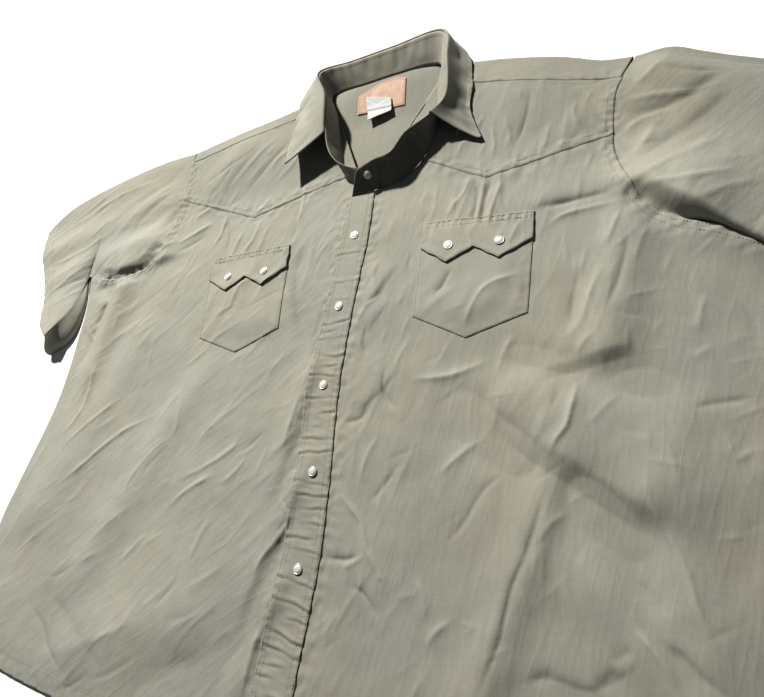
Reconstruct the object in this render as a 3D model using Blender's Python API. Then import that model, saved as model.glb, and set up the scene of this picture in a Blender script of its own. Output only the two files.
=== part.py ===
"""Western snap shirt, laid flat on its back and snapped shut.

Metres, +Z up. Everything is laid out round the top placket snap: +X is the wearer's
left, +Y runs to the collar, and z = 0 is the table. The last step moves the whole
garment so that its box stands centred on the origin.
"""

import math

import bpy
from mathutils import Vector
from mathutils.bvhtree import BVHTree
from mathutils.geometry import delaunay_2d_cdt

# ---------------------------------------------------------------- driving sizes
CLOTH = 0.0012            # wall of every cut piece
BAND_CLOTH = 0.0015       # wall of the interfaced collar pieces
SEAM_GAP = 0.0004         # between neighbours at a seam
LAYER_GAP = 0.0004        # between a piece and what lies on it
FOLD_RADIUS = 0.0013      # middle of the wall round a flattened fold
LATTICE = 0.023           # spacing of the points inside a front piece
BACK_LATTICE = 0.060      # the same on the flat back
OUTLINE_STEP = 0.022      # spacing of the points along an outline
ARMHOLE_STEP = 0.012      # and along an armhole

BACK_Z = CLOTH / 2                              # middle of the back, flat on the table
SEAM_Z = BACK_Z + CLOTH + 0.0003                # middle of a front where it meets the back
FOLD_Z = BACK_Z + 2 * FOLD_RADIUS               # middle of the top layer at a fold
PUFF = 0.0035                                   # how far the fronts lift between the edges
PUFF_REACH = 0.030                              # how soon they lift, in from the outline
FOLD_FADE = 0.022                               # how soon folds start, in from the outline

SNAP_PITCH = 0.092
SNAP_COUNT = 5
SNAP_RADIUS = 0.0057
SNAP_HEIGHT = 0.0024

PLACKET_HALF = 0.0175
PLACKET_LATTICE = 0.012
PLACKET_UNDERLAP = 0.0140     # the right front runs this far under the band's middle
HEM_AT_PLACKET = -0.5480

POCKET_WIDTH = 0.1216
POCKET_BOTTOM_WIDTH = 0.1191
POCKET_TOP = -0.004       # below the top edge of the flap
POCKET_SIDE = 0.1165
POCKET_POINT = 0.1411
FLAP_SIDE = 0.0356
FLAP_POINT = 0.0562
FLAP_POINT_IN = 0.0329
FLAP_VALLEY = 0.0400
FLAP_EASE = 0.0012        # how far the flap stays in from the pocket's sides
FLAP_SNAP_IN = 0.0334
FLAP_SNAP_DOWN = 0.0360
POCKET_LATTICE = 0.015

# Where each pocket lies: the middle of the flap's top edge, and its turn.
POCKETS = {
    # side: (x, y, turn in degrees)
    "right": (-0.1480, -0.0017, 3.9),
    "left": (0.1497, 0.0061, -1.3),
}

# ---------------------------------------------------------------- outlines as laid
# Smooth lines through these points, (x, y) from the top placket snap.
SHOULDER_FOLD_RIGHT = [(-0.0690, 0.2365), (-0.120, 0.2290), (-0.170, 0.2185), (-0.220, 0.2095),
                       (-0.261, 0.2000), (-0.303, 0.1900)]
SHOULDER_FOLD_LEFT = [(0.0900, 0.2430), (0.130, 0.2330), (0.161, 0.2270), (0.200, 0.2170),
                      (0.231, 0.2070), (0.254, 0.1970), (0.275, 0.1870), (0.307, 0.1820)]
SHOULDER_SEAM_RIGHT = [(-0.0665, 0.2235), (-0.117, 0.2120), (-0.303, 0.1720)]
SHOULDER_SEAM_LEFT = [(0.0875, 0.2110), (0.133, 0.1980), (0.295, 0.1530)]
ARMHOLE_RIGHT = [(-0.303, 0.1720), (-0.298, 0.1500), (-0.294, 0.0990), (-0.297, 0.0600),
                 (-0.312, 0.0140), (-0.331, -0.0090), (-0.366, -0.0210), (-0.403, -0.0220),
                 (-0.452, -0.0120)]
ARMHOLE_LEFT = [(0.295, 0.1530), (0.287, 0.1300), (0.284, 0.0810), (0.287, 0.0500),
                (0.305, 0.0010), (0.331, -0.0260), (0.377, -0.0470), (0.410, -0.0640),
                (0.452, -0.0780)]
SIDE_RIGHT = [(-0.452, -0.0120), (-0.439, -0.0670), (-0.4365, -0.1100), (-0.436, -0.2050),
              (-0.459, -0.3160), (-0.470, -0.3710), (-0.478, -0.4900)]
SIDE_LEFT = [(0.452, -0.0780), (0.446, -0.1300), (0.447, -0.2050), (0.461, -0.3160),
             (0.468, -0.3710), (0.474, -0.4860)]
HEM_RIGHT = [(-0.478, -0.4900), (-0.430, -0.5190), (-0.378, -0.5280), (-0.290, -0.5350),
             (-0.150, -0.5440), (0.000, HEM_AT_PLACKET)]
HEM_LEFT = [(0.000, HEM_AT_PLACKET), (0.150, -0.5440), (0.290, -0.5350), (0.378, -0.5260),
            (0.430, -0.5160), (0.474, -0.4860)]
PLACKET_LINE = [(0.0030, 0.0600), (0.0030, 0.0000), (-0.0020, -0.0900), (-0.0060, -0.1880),
                (-0.0010, -0.2750), (0.0000, -0.3680), (-0.0070, -0.4700),
                (-0.0090, HEM_AT_PLACKET)]
YOKE_SEAM_RIGHT = [(-0.294, 0.0990), (-0.156, 0.0510), (-0.0252, 0.0904)]
YOKE_SEAM_LEFT = [(0.284, 0.0810), (0.156, 0.0550), (0.0800, 0.0945)]
NECK_RIGHT = [(0.0060, 0.0650), (-0.0070, 0.0745), (-0.0275, 0.0945), (-0.0345, 0.1180),
              (-0.0385, 0.1400), (-0.0520, 0.1880), (-0.0665, 0.2235)]
NECK_LEFT = [(0.0060, 0.0650), (0.0500, 0.0700), (0.0680, 0.0790), (0.0820, 0.0985),
             (0.0895, 0.1220), (0.0900, 0.1500), (0.0870, 0.1850), (0.0875, 0.2110)]
NECK_BACK = [(-0.0690, 0.2365), (-0.020, 0.2375), (0.030, 0.2420), (0.0900, 0.2430)]
# The back's own armholes, from the shoulder fold down; they meet the fronts' below.
BACK_ARMHOLE_RIGHT = [(-0.303, 0.1900), (-0.303, 0.0900), (-0.308, 0.0300), (-0.331, -0.0090),
                      (-0.366, -0.0210), (-0.403, -0.0220), (-0.452, -0.0120)]
BACK_ARMHOLE_LEFT = [(0.307, 0.1820), (0.305, 0.0900), (0.310, 0.0050), (0.331, -0.0260),
                     (0.377, -0.0470), (0.410, -0.0640), (0.452, -0.0780)]
BACK_YOKE_SEAM = [(-0.302, 0.0900), (0.000, 0.0500), (0.304, 0.0900)]
NECK_RISE = 0.0082        # how far the collar lifts the cloth at the back of the neck
NECK_RISE_FROM = 0.165    # from this far up
NECK_RISE_TO = 0.238
NECK_MIDDLE = 0.010
NECK_RISE_FULL = 0.035    # half the width over which it is lifted all the way
NECK_RISE_END = 0.115     # and where it lies down again

SLEEVES = {
    # top: the silhouette over the shoulder; upper arm: across the top layer just past the
    # armpit; ridge: where the top layer turns down; edge: where it meets the table
    "right": {
        "top": [(-0.303, 0.1900), (-0.354, 0.1870), (-0.403, 0.1790), (-0.453, 0.1670),
                (-0.512, 0.1500), (-0.559, 0.1310), (-0.591, 0.1060), (-0.605, 0.0900)],
        "top_at_upper_arm": 0.34,
        "upper_arm": [(-0.416, 0.1765), (-0.437, 0.1100), (-0.450, 0.0500), (-0.4605, -0.0110)],
        "armpit": (-0.4560, -0.0080),
        "ridge": [(-0.4605, -0.0110), (-0.4565, -0.0420), (-0.4570, -0.0700), (-0.4640, -0.0920),
                  (-0.4730, -0.1170)],
        "ridge_z": 0.029,
        "edge": [(-0.4600, -0.0140), (-0.4490, -0.0500), (-0.4465, -0.0880), (-0.4550, -0.1140),
                 (-0.4890, -0.1360)],
        "cuff": [(-0.605, 0.0900), (-0.576, 0.0220), (-0.540, -0.0330), (-0.500, -0.0930),
                 (-0.4730, -0.1170)],
    },
    "left": {
        "top": [(0.307, 0.1820), (0.341, 0.1840), (0.369, 0.1690), (0.393, 0.1550),
                (0.418, 0.1420), (0.500, 0.0980), (0.558, 0.0620), (0.580, 0.0440)],
        "top_at_upper_arm": 0.34,
        "upper_arm": [(0.403, 0.1500), (0.425, 0.0900), (0.445, 0.0100), (0.4610, -0.0790)],
        "armpit": (0.4560, -0.0740),
        "ridge": [(0.4610, -0.0790), (0.4620, -0.1000), (0.4670, -0.1280), (0.4740, -0.1680)],
        "ridge_z": 0.022,
        "edge": [(0.4600, -0.0830), (0.4585, -0.1100), (0.4600, -0.1400), (0.4700, -0.1880)],
        "cuff": [(0.580, 0.0440), (0.556, -0.0120), (0.528, -0.0680), (0.500, -0.1200),
                 (0.4740, -0.1680)],
    },
}
SLEEVE_ROWS = (3, 6)      # from the armhole to the upper arm, and on to the cuff
SLEEVE_CLEAR = 0.0008      # between a sleeve and the body at the armhole
SLEEVE_COLUMNS = 17       # across the top layer, fold to ridge
SLEEVE_WALL_ROWS = 2      # down from the ridge to the table edge
SLEEVE_UNDER = 10         # across the layer underneath

# ---------------------------------------------------------------- folds of the top layer
FOLDS = [
    # name, x0, y0, x1, y1, rise, width on its left, width on its right
    ("beside placket, chest", -0.027, -0.185, -0.042, -0.270, 0.0060, 0.009, 0.018),
    ("beside placket, waist", -0.020, -0.300, -0.050, -0.388, 0.0060, 0.009, 0.020),
    ("beside placket, hem", -0.024, -0.405, -0.045, -0.470, 0.0050, 0.009, 0.018),
    ("left front trough", 0.165, -0.215, 0.300, -0.305, -0.0050, 0.022, 0.026),
    ("left front shoulder of the trough", 0.205, -0.195, 0.350, -0.280, 0.0090, 0.040, 0.030),
    ("left front crease", 0.233, -0.268, 0.181, -0.433, 0.0050, 0.016, 0.022),
    ("left side ridge", 0.318, -0.290, 0.345, -0.420, 0.0070, 0.022, 0.022),
    ("left hem ridge", 0.275, -0.355, 0.325, -0.420, 0.0050, 0.018, 0.018),
    ("left armhole ridge", 0.302, 0.000, 0.275, -0.140, 0.0060, 0.026, 0.024),
    ("left chest trough", 0.210, -0.160, 0.295, -0.180, -0.0040, 0.020, 0.020),
    ("right hem trough", -0.150, -0.510, -0.035, -0.440, -0.0040, 0.030, 0.030),
    ("right hem swell", -0.260, -0.480, -0.130, -0.420, 0.0060, 0.040, 0.040),
    ("right side swell", -0.300, -0.120, -0.400, -0.350, 0.0070, 0.045, 0.040),
    ("right front diagonal", -0.190, -0.190, -0.290, -0.400, 0.0050, 0.026, 0.026),
    ("right underarm ridge", -0.365, -0.045, -0.375, -0.160, 0.0090, 0.020, 0.026),
    ("right underarm trough", -0.398, -0.050, -0.408, -0.115, -0.0050, 0.018, 0.016),
    ("right sleeve ridge", -0.330, 0.100, -0.560, 0.045, 0.0060, 0.026, 0.030),
    ("right sleeve lower ridge", -0.345, 0.035, -0.520, -0.010, 0.0060, 0.024, 0.026),
    ("right sleeve over armhole", -0.335, 0.010, -0.395, -0.006, 0.0100, 0.012, 0.045),
    ("left sleeve over armhole", 0.318, 0.006, 0.345, -0.010, 0.0180, 0.050, 0.011),
    ("left sleeve over armhole, low", 0.345, -0.010, 0.440, -0.058, 0.0180, 0.050, 0.011),
    ("left sleeve ridge", 0.335, 0.140, 0.470, 0.020, 0.0070, 0.028, 0.030),
    ("left sleeve crown", 0.340, 0.165, 0.420, 0.110, 0.0080, 0.020, 0.030),
    ("right shoulder swell", -0.200, 0.175, -0.235, 0.115, 0.0040, 0.030, 0.030),
    ("left shoulder swell", 0.190, 0.160, 0.240, 0.110, 0.0040, 0.030, 0.030),
]
TAPER = 0.035             # how far past its ends a fold dies away

# ---------------------------------------------------------------- collar
COLLAR = [
    # station, foot of the stand, its top edge, outer edge of the leaf (None: no leaf there)
    ("right end", (0.0200, 0.0668, 0.0090), (0.0230, 0.0860, 0.0180), None),
    ("right front", (-0.0080, 0.0755, 0.0086), (-0.0115, 0.0895, 0.0240), None),
    ("right bend", (-0.0270, 0.0960, 0.0086), (-0.0355, 0.1060, 0.0310), None),
    ("right leaf end", (-0.0385, 0.1400, 0.0086), (-0.0490, 0.1420, 0.0340),
     (-0.1130, 0.1180, 0.0190)),
    ("right side", (-0.0525, 0.1900, 0.0080), (-0.0550, 0.1970, 0.0400),
     (-0.1190, 0.2000, 0.0110)),
    ("right corner", (-0.0660, 0.2325, 0.0050), (-0.0720, 0.2460, 0.0450),
     (-0.1080, 0.2640, 0.0050)),
    ("back right", (-0.0200, 0.2355, 0.0098), (-0.0220, 0.2540, 0.0455),
     (-0.0280, 0.2830, 0.0050)),
    ("back left", (0.0300, 0.2395, 0.0098), (0.0340, 0.2605, 0.0440),
     (0.0450, 0.2900, 0.0050)),
    ("left corner", (0.0860, 0.2390, 0.0050), (0.0980, 0.2650, 0.0410),
     (0.1140, 0.2560, 0.0070)),
    ("left side", (0.0872, 0.2020, 0.0080), (0.1060, 0.2170, 0.0385),
     (0.1335, 0.1960, 0.0120)),
    ("left shoulder", (0.0890, 0.1640, 0.0090), (0.1085, 0.1610, 0.0355),
     (0.1345, 0.1520, 0.0140)),
    ("left leaf end", (0.0900, 0.1300, 0.0090), (0.0905, 0.1370, 0.0320),
     (0.1530, 0.0930, 0.0215)),
    ("left bend", (0.0790, 0.0960, 0.0100), (0.0600, 0.1210, 0.0285), None),
    ("left front", (0.0520, 0.0715, 0.0115), (0.0440, 0.0985, 0.0260), None),
    ("left end", (0.0200, 0.0650, 0.0150), (0.0210, 0.0925, 0.0250), None),
    ("left tab", (-0.0090, 0.0610, 0.0160), (-0.0010, 0.0830, 0.0225), None),
]
NECK_SNAP = (0.0140, 0.0765)
LEAF_RISE = 0.0050        # the leaf stands this far above the stand before it turns over
LEAF_ROLL = 0.0045        # and turns over this far out
COLLAR_STEPS = 4          # from one station of the collar to the next

LABEL = [(-0.0250, 0.1900), (0.0430, 0.1890), (0.0425, 0.2290), (0.0300, 0.2330),
         (0.0050, 0.2300), (-0.0250, 0.2170)]
TAG = [(-0.0050, 0.1720), (0.0270, 0.1810), (0.0240, 0.2030), (-0.0130, 0.2130)]
LABEL_CLOTH = 0.0010      # wall of the label and of the tag
LABEL_GAP = 0.0010        # the label is stiffer than the curved yoke under it
TAG_GAP = 0.0002
TAG_LIFT = 0.0060         # the tag's free end stands this far off the yoke
TAG_FLAT_FROM = 0.200

SAGE = (0.36, 0.35, 0.27)
PEARL = (0.85, 0.84, 0.80)
LABEL_TAN = (0.72, 0.40, 0.22)
TAG_WHITE = (0.86, 0.86, 0.84)


# ---------------------------------------------------------------- lines in the plane
def catmull(p, t):
    """A Catmull-Rom point from the second of four points to the third."""
    return 0.5 * (2 * p[1] + (p[2] - p[0]) * t
                  + (2 * p[0] - 5 * p[1] + 4 * p[2] - p[3]) * t ** 2
                  + (3 * p[1] - p[0] - 3 * p[2] + p[3]) * t ** 3)


def smooth_line(points, step=OUTLINE_STEP):
    """Points about `step` apart on a Catmull-Rom line through `points`."""
    ends = [tuple(2 * a - b for a, b in zip(points[0], points[1]))]
    tail = [tuple(2 * a - b for a, b in zip(points[-1], points[-2]))]
    p = [Vector(q) for q in ends + list(points) + tail]
    line = []
    for i in range(1, len(p) - 2):
        span = max(1, round((p[i + 1] - p[i]).length / step))
        for k in range(span):
            line.append(catmull(p[i - 1:i + 3], k / span))
    line.append(p[-2].copy())
    return line


def straight_line(points, step=OUTLINE_STEP):
    """Points about `step` apart on the straight runs between `points`."""
    p = [Vector(q) for q in points]
    line = []
    for a, b in zip(p, p[1:]):
        span = max(1, round((b - a).length / step))
        line += [a.lerp(b, k / span) for k in range(span)]
    line.append(p[-1].copy())
    return line


def joined(*lines):
    """One closed outline from lines that follow one another."""
    outline = []
    for line in lines:
        for point in line:
            if not outline or (point - outline[-1]).length > 1e-6:
                outline.append(point)
    if (outline[0] - outline[-1]).length < 1e-6:
        outline.pop()
    return outline


def moved(line, distance):
    """A line moved to its left."""
    result = []
    for i, point in enumerate(line):
        ahead = (line[min(i + 1, len(line) - 1)] - line[max(i - 1, 0)]).normalized()
        result.append(point + Vector((-ahead.y, ahead.x)) * distance)
    return result


def at(line, t):
    """The point a fraction t of the way along a line."""
    lengths = [(b - a).length for a, b in zip(line, line[1:])]
    left = min(max(t, 0.0), 1.0) * sum(lengths)
    for a, b, length in zip(line, line[1:], lengths):
        if left <= length:
            return a.lerp(b, left / length)
        left -= length
    return line[-1].copy()


def y_on(line, x):
    """The height of a line at x; the line runs one way in x."""
    points = sorted(line, key=lambda p: p.x)
    if x <= points[0].x:
        return points[0].y
    for a, b in zip(points, points[1:]):
        if x <= b.x:
            return a.y + (b.y - a.y) * (x - a.x) / max(b.x - a.x, 1e-9)
    return points[-1].y


def signed_area(outline):
    return 0.5 * sum(a.x * b.y - b.x * a.y for a, b in zip(outline, outline[1:] + outline[:1]))


def inset(outline, distance):
    """The outline, counter-clockwise, moved in by `distance`."""
    if signed_area(outline) < 0:
        outline = outline[::-1]
    moved = []
    for i, point in enumerate(outline):
        before = (point - outline[i - 1]).normalized()
        after = (outline[(i + 1) % len(outline)] - point).normalized()
        inward = Vector((-before.y - after.y, before.x + after.x))
        inward.normalize()
        spread = max(0.35, inward.dot(Vector((-before.y, before.x))))
        moved.append(point + inward * distance / spread)
    return moved


def inside(outline, x, y):
    hit = False
    for a, b in zip(outline, outline[1:] + outline[:1]):
        if (a.y > y) != (b.y > y) and x < a.x + (b.x - a.x) * (y - a.y) / (b.y - a.y):
            hit = not hit
    return hit


def distance_to(segments, x, y):
    best = 1e9
    for ax, ay, dx, dy, square in segments:
        t = min(1.0, max(0.0, ((x - ax) * dx + (y - ay) * dy) / square))
        best = min(best, math.hypot(x - ax - t * dx, y - ay - t * dy))
    return best


def segments_of(line):
    found = []
    for a, b in zip(line, line[1:]):
        square = (b - a).length_squared
        if square > 1e-12:
            found.append((a.x, a.y, b.x - a.x, b.y - a.y, square))
    return found


def smoothstep(x, low, high):
    t = min(1.0, max(0.0, (x - low) / (high - low)))
    return t * t * (3 - 2 * t)


# ---------------------------------------------------------------- how the top layer lies
SILHOUETTE = segments_of(smooth_line(SHOULDER_FOLD_RIGHT)) \
    + segments_of(smooth_line(SLEEVES["right"]["top"])) \
    + segments_of(smooth_line(SIDE_RIGHT)) \
    + segments_of(smooth_line(HEM_RIGHT)) \
    + segments_of(smooth_line(HEM_LEFT)) \
    + segments_of(smooth_line(SIDE_LEFT)) \
    + segments_of(smooth_line(SLEEVES["left"]["top"])) \
    + segments_of(smooth_line(SHOULDER_FOLD_LEFT))


def fold_height(x, y):
    """What the folds add at (x, y): each a soft ridge or trough along its line."""
    total = 0.0
    for _, x0, y0, x1, y1, rise, left, right in FOLDS:
        length = math.hypot(x1 - x0, y1 - y0)
        ux = (x1 - x0) / length
        uy = (y1 - y0) / length
        along = (x - x0) * ux + (y - y0) * uy
        across = -(x - x0) * uy + (y - y0) * ux
        width = left if across > 0 else right
        if abs(across) > 3 * width:
            continue
        past = max(0.0, -along, along - length)
        total += rise * math.exp(-(across / width) ** 2 - (past / TAPER) ** 2)
    return total


def neck_lift(x, y):
    """How far the collar lifts both layers of cloth round the back of the neck."""
    rise = smoothstep(y, NECK_RISE_FROM, NECK_RISE_TO)
    return NECK_RISE * rise * (1 - smoothstep(abs(x - NECK_MIDDLE), NECK_RISE_FULL, NECK_RISE_END))


def top_height(x, y):
    """The middle of the wall of the top layer over (x, y)."""
    edge = SEAM_Z + (FOLD_Z - SEAM_Z) * smoothstep(y, -0.14, -0.09)
    d = distance_to(SILHOUETTE, x, y)
    lift = PUFF * (1 - math.exp(-d / PUFF_REACH))
    folds = fold_height(x, y) * (1 - math.exp(-(d / FOLD_FADE) ** 2))
    floor = -0.45 * lift
    return edge + lift + max(folds, floor) + neck_lift(x, y)


def back_height(x, y):
    """The middle of the wall of the back."""
    return BACK_Z + neck_lift(x, y)


# ---------------------------------------------------------------- solids
def material(name, colour, roughness, metallic=0.0):
    found = bpy.data.materials.get(name)
    if found:
        return found
    new = bpy.data.materials.new(name)
    new.use_nodes = True
    shader = new.node_tree.nodes["Principled BSDF"]
    shader.inputs["Base Color"].default_value = (*colour, 1.0)
    shader.inputs["Roughness"].default_value = roughness
    shader.inputs["Metallic"].default_value = metallic
    return new


def cloth_material():
    return material("shirting", SAGE, 0.85)


def new_object(name, vertices, faces, surface, smooth_angle=50.0):
    mesh = bpy.data.meshes.new(name)
    mesh.from_pydata([tuple(v) for v in vertices], [], faces)
    mesh.materials.append(surface)
    mesh.shade_smooth()
    mesh.set_sharp_from_angle(angle=math.radians(smooth_angle))
    mesh.update()
    obj = bpy.data.objects.new(name, mesh)
    bpy.context.scene.collection.objects.link(obj)
    return obj


def lattice_points(outline, pitch):
    """A staggered lattice inside an outline, clear of its edge."""
    xs = [p.x for p in outline]
    ys = [p.y for p in outline]
    row_pitch = pitch * math.sqrt(3) / 2
    edge = segments_of(outline + outline[:1])
    found = []
    for row in range(math.floor(min(ys) / row_pitch), math.ceil(max(ys) / row_pitch) + 1):
        y = row * row_pitch
        shift = pitch / 2 if row % 2 else 0.0
        for column in range(math.floor(min(xs) / pitch) - 1, math.ceil(max(xs) / pitch) + 1):
            x = column * pitch + shift
            if inside(outline, x, y) and distance_to(edge, x, y) > 0.5 * pitch:
                found.append(Vector((x, y)))
    return found


def wall(name, outline, place, pitch, thickness=CLOTH, extra=()):
    """A cut piece: the outline filled with triangles, laid by `place`, with a wall.

    place(x, y) gives the middle of the wall and the way it faces.
    """
    if signed_area(outline) < 0:
        outline = outline[::-1]
    points = list(outline) + list(extra) + lattice_points(outline, pitch)
    count = len(outline)
    ring = [(i, (i + 1) % count) for i in range(count)]
    flat, _, faces, _, _, _ = delaunay_2d_cdt(points, ring, [list(range(count))], 1, 1e-7)
    upper = []
    lower = []
    for p in flat:
        middle, facing = place(p.x, p.y)
        upper.append(middle + facing * thickness / 2)
        lower.append(middle - facing * thickness / 2)
    size = len(flat)
    solid = []
    edges = {}
    for face in faces:
        a, b, c = face
        if (flat[b] - flat[a]).cross(flat[c] - flat[a]) < 0:
            a, b, c = a, c, b
        solid.append((a, b, c))
        solid.append((a + size, c + size, b + size))
        for edge in ((a, b), (b, c), (c, a)):
            edges[edge] = True
    for a, b in edges:
        if (b, a) not in edges:
            solid.append((b, a, a + size, b + size))
    return new_object(name, upper + lower, solid, cloth_material())


def grid_wall(name, grid, thickness, closed=False, facing=None):
    """A wall about a grid of middle points, grid[row][column]; `closed` joins its columns."""
    rows = len(grid)
    columns = len(grid[0])
    outer = []
    inner = []
    for j in range(rows):
        for k in range(columns):
            if facing and facing(j, k) is not None:
                normal = facing(j, k)
            else:
                before = grid[j][k - 1] if closed or k else grid[j][k]
                after = grid[j][(k + 1) % columns] if closed or k < columns - 1 else grid[j][k]
                down = grid[max(j - 1, 0)][k]
                up = grid[min(j + 1, rows - 1)][k]
                normal = (after - before).cross(up - down).normalized()
            outer.append(grid[j][k] + normal * thickness / 2)
            inner.append(grid[j][k] - normal * thickness / 2)
    size = rows * columns
    faces = []
    spans = columns if closed else columns - 1
    for j in range(rows - 1):
        for k in range(spans):
            a = j * columns + k
            b = j * columns + (k + 1) % columns
            c = b + columns
            d = a + columns
            faces.append((a, b, c, d))
            faces.append((a + size, d + size, c + size, b + size))
    for k in range(spans):
        a = k
        b = (k + 1) % columns
        faces.append((b, a, a + size, b + size))
        a += (rows - 1) * columns
        b += (rows - 1) * columns
        faces.append((a, b, b + size, a + size))
    if not closed:
        for j in range(rows - 1):
            a = j * columns
            faces.append((a, a + columns, a + columns + size, a + size))
            b = a + columns - 1
            faces.append((b + columns, b, b + size, b + columns + size))
    return new_object(name, outer + inner, faces, cloth_material())


UP = Vector((0.0, 0.0, 1.0))


def laid(x, y):
    return Vector((x, y, top_height(x, y))), UP


def laid_back(x, y):
    return Vector((x, y, back_height(x, y))), UP


class Under:
    """What a piece is laid on: the highest of some solids under a point."""

    def __init__(self, *objects):
        self.trees = []
        for obj in objects:
            vertices = [v.co.copy() for v in obj.data.vertices]
            polygons = [tuple(p.vertices) for p in obj.data.polygons]
            self.trees.append(BVHTree.FromPolygons(vertices, polygons))

    def top(self, x, y):
        best = None
        for tree in self.trees:
            hit = tree.ray_cast(Vector((x, y, 1.0)), -UP)[0]
            if hit is not None and (best is None or hit.z > best):
                best = hit.z
        return best

    def laid_on(self, gap=LAYER_GAP, thickness=CLOTH):
        def place(x, y):
            z = self.top(x, y)
            return Vector((x, y, z + gap + thickness / 2)), UP
        return place


# ---------------------------------------------------------------- the pieces
def make_back():
    top = BACK_YOKE_SEAM[0][1] - 2 * SEAM_GAP
    right = [p for p in smooth_line(BACK_ARMHOLE_RIGHT, ARMHOLE_STEP) if p.y < top]
    left = [p for p in smooth_line(BACK_ARMHOLE_LEFT, ARMHOLE_STEP) if p.y < top]
    seam = [(x, y - SEAM_GAP) for x, y in BACK_YOKE_SEAM]
    outline = joined(right, smooth_line(SIDE_RIGHT), smooth_line(HEM_RIGHT), smooth_line(HEM_LEFT),
                     smooth_line(SIDE_LEFT)[::-1], left[::-1],
                     straight_line(seam, BACK_LATTICE)[::-1])
    return wall("back_panel", inset(outline, SEAM_GAP / 2), laid_back, BACK_LATTICE)


def placket_line(offset, step=OUTLINE_STEP):
    """The band's middle line from the neck to the hem, moved sideways."""
    return [p + Vector((offset, 0.0)) for p in smooth_line(PLACKET_LINE, step)]


def make_front(side):
    """Runs under the band's middle on the right, and up to the band on the left."""
    if side == "right":
        edge = placket_line(PLACKET_UNDERLAP)
        flank, armhole, seam = SIDE_RIGHT, ARMHOLE_RIGHT, YOKE_SEAM_RIGHT
        hem = [p for p in smooth_line(HEM_RIGHT) if p.x < edge[-1].x]
        neck = beyond(smooth_line(NECK_RIGHT), Vector(seam[-1]), backwards=True)
    else:
        edge = placket_line(PLACKET_HALF + SEAM_GAP)
        flank, armhole, seam = SIDE_LEFT, ARMHOLE_LEFT, YOKE_SEAM_LEFT
        hem = [p for p in smooth_line(HEM_LEFT[::-1]) if p.x > edge[-1].x]
        neck = beyond(smooth_line(NECK_LEFT), Vector(seam[-1]), backwards=True)
        neck = [p for p in neck if p.x > edge[0].x + 0.004]
        edge[0].y = y_on(smooth_line(NECK_LEFT)[:3], edge[0].x)
    outline = joined(edge, hem[::-1], smooth_line(flank)[::-1],
                     up_to(smooth_line(armhole, ARMHOLE_STEP)[::-1], Vector(seam[0])),
                     straight_line(seam), neck)
    return wall("front_" + side, inset(outline, SEAM_GAP / 2), laid, LATTICE)


def up_to(line, point):
    """The line as far as the place nearest to a point, which ends it."""
    nearest = min(range(len(line)), key=lambda i: (line[i] - point).length)
    return line[:nearest] + [point]


def beyond(line, point, backwards=False):
    """The line from the place nearest to a point, which starts it, to its end or its start."""
    if backwards:
        line = line[::-1]
    nearest = min(range(len(line)), key=lambda i: (line[i] - point).length)
    return [point] + line[nearest + 1:]


def make_front_yoke(side):
    if side == "right":
        seam, armhole, shoulder = YOKE_SEAM_RIGHT, ARMHOLE_RIGHT, SHOULDER_SEAM_RIGHT
        neck = NECK_RIGHT
    else:
        seam, armhole, shoulder = YOKE_SEAM_LEFT, ARMHOLE_LEFT, SHOULDER_SEAM_LEFT
        neck = NECK_LEFT
    outline = joined(straight_line(seam), beyond(smooth_line(neck), Vector(seam[-1])),
                     straight_line(shoulder),
                     up_to(smooth_line(armhole, ARMHOLE_STEP), Vector(seam[0])))
    return wall("front_yoke_" + side, inset(outline, SEAM_GAP / 2), laid, LATTICE)


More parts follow.
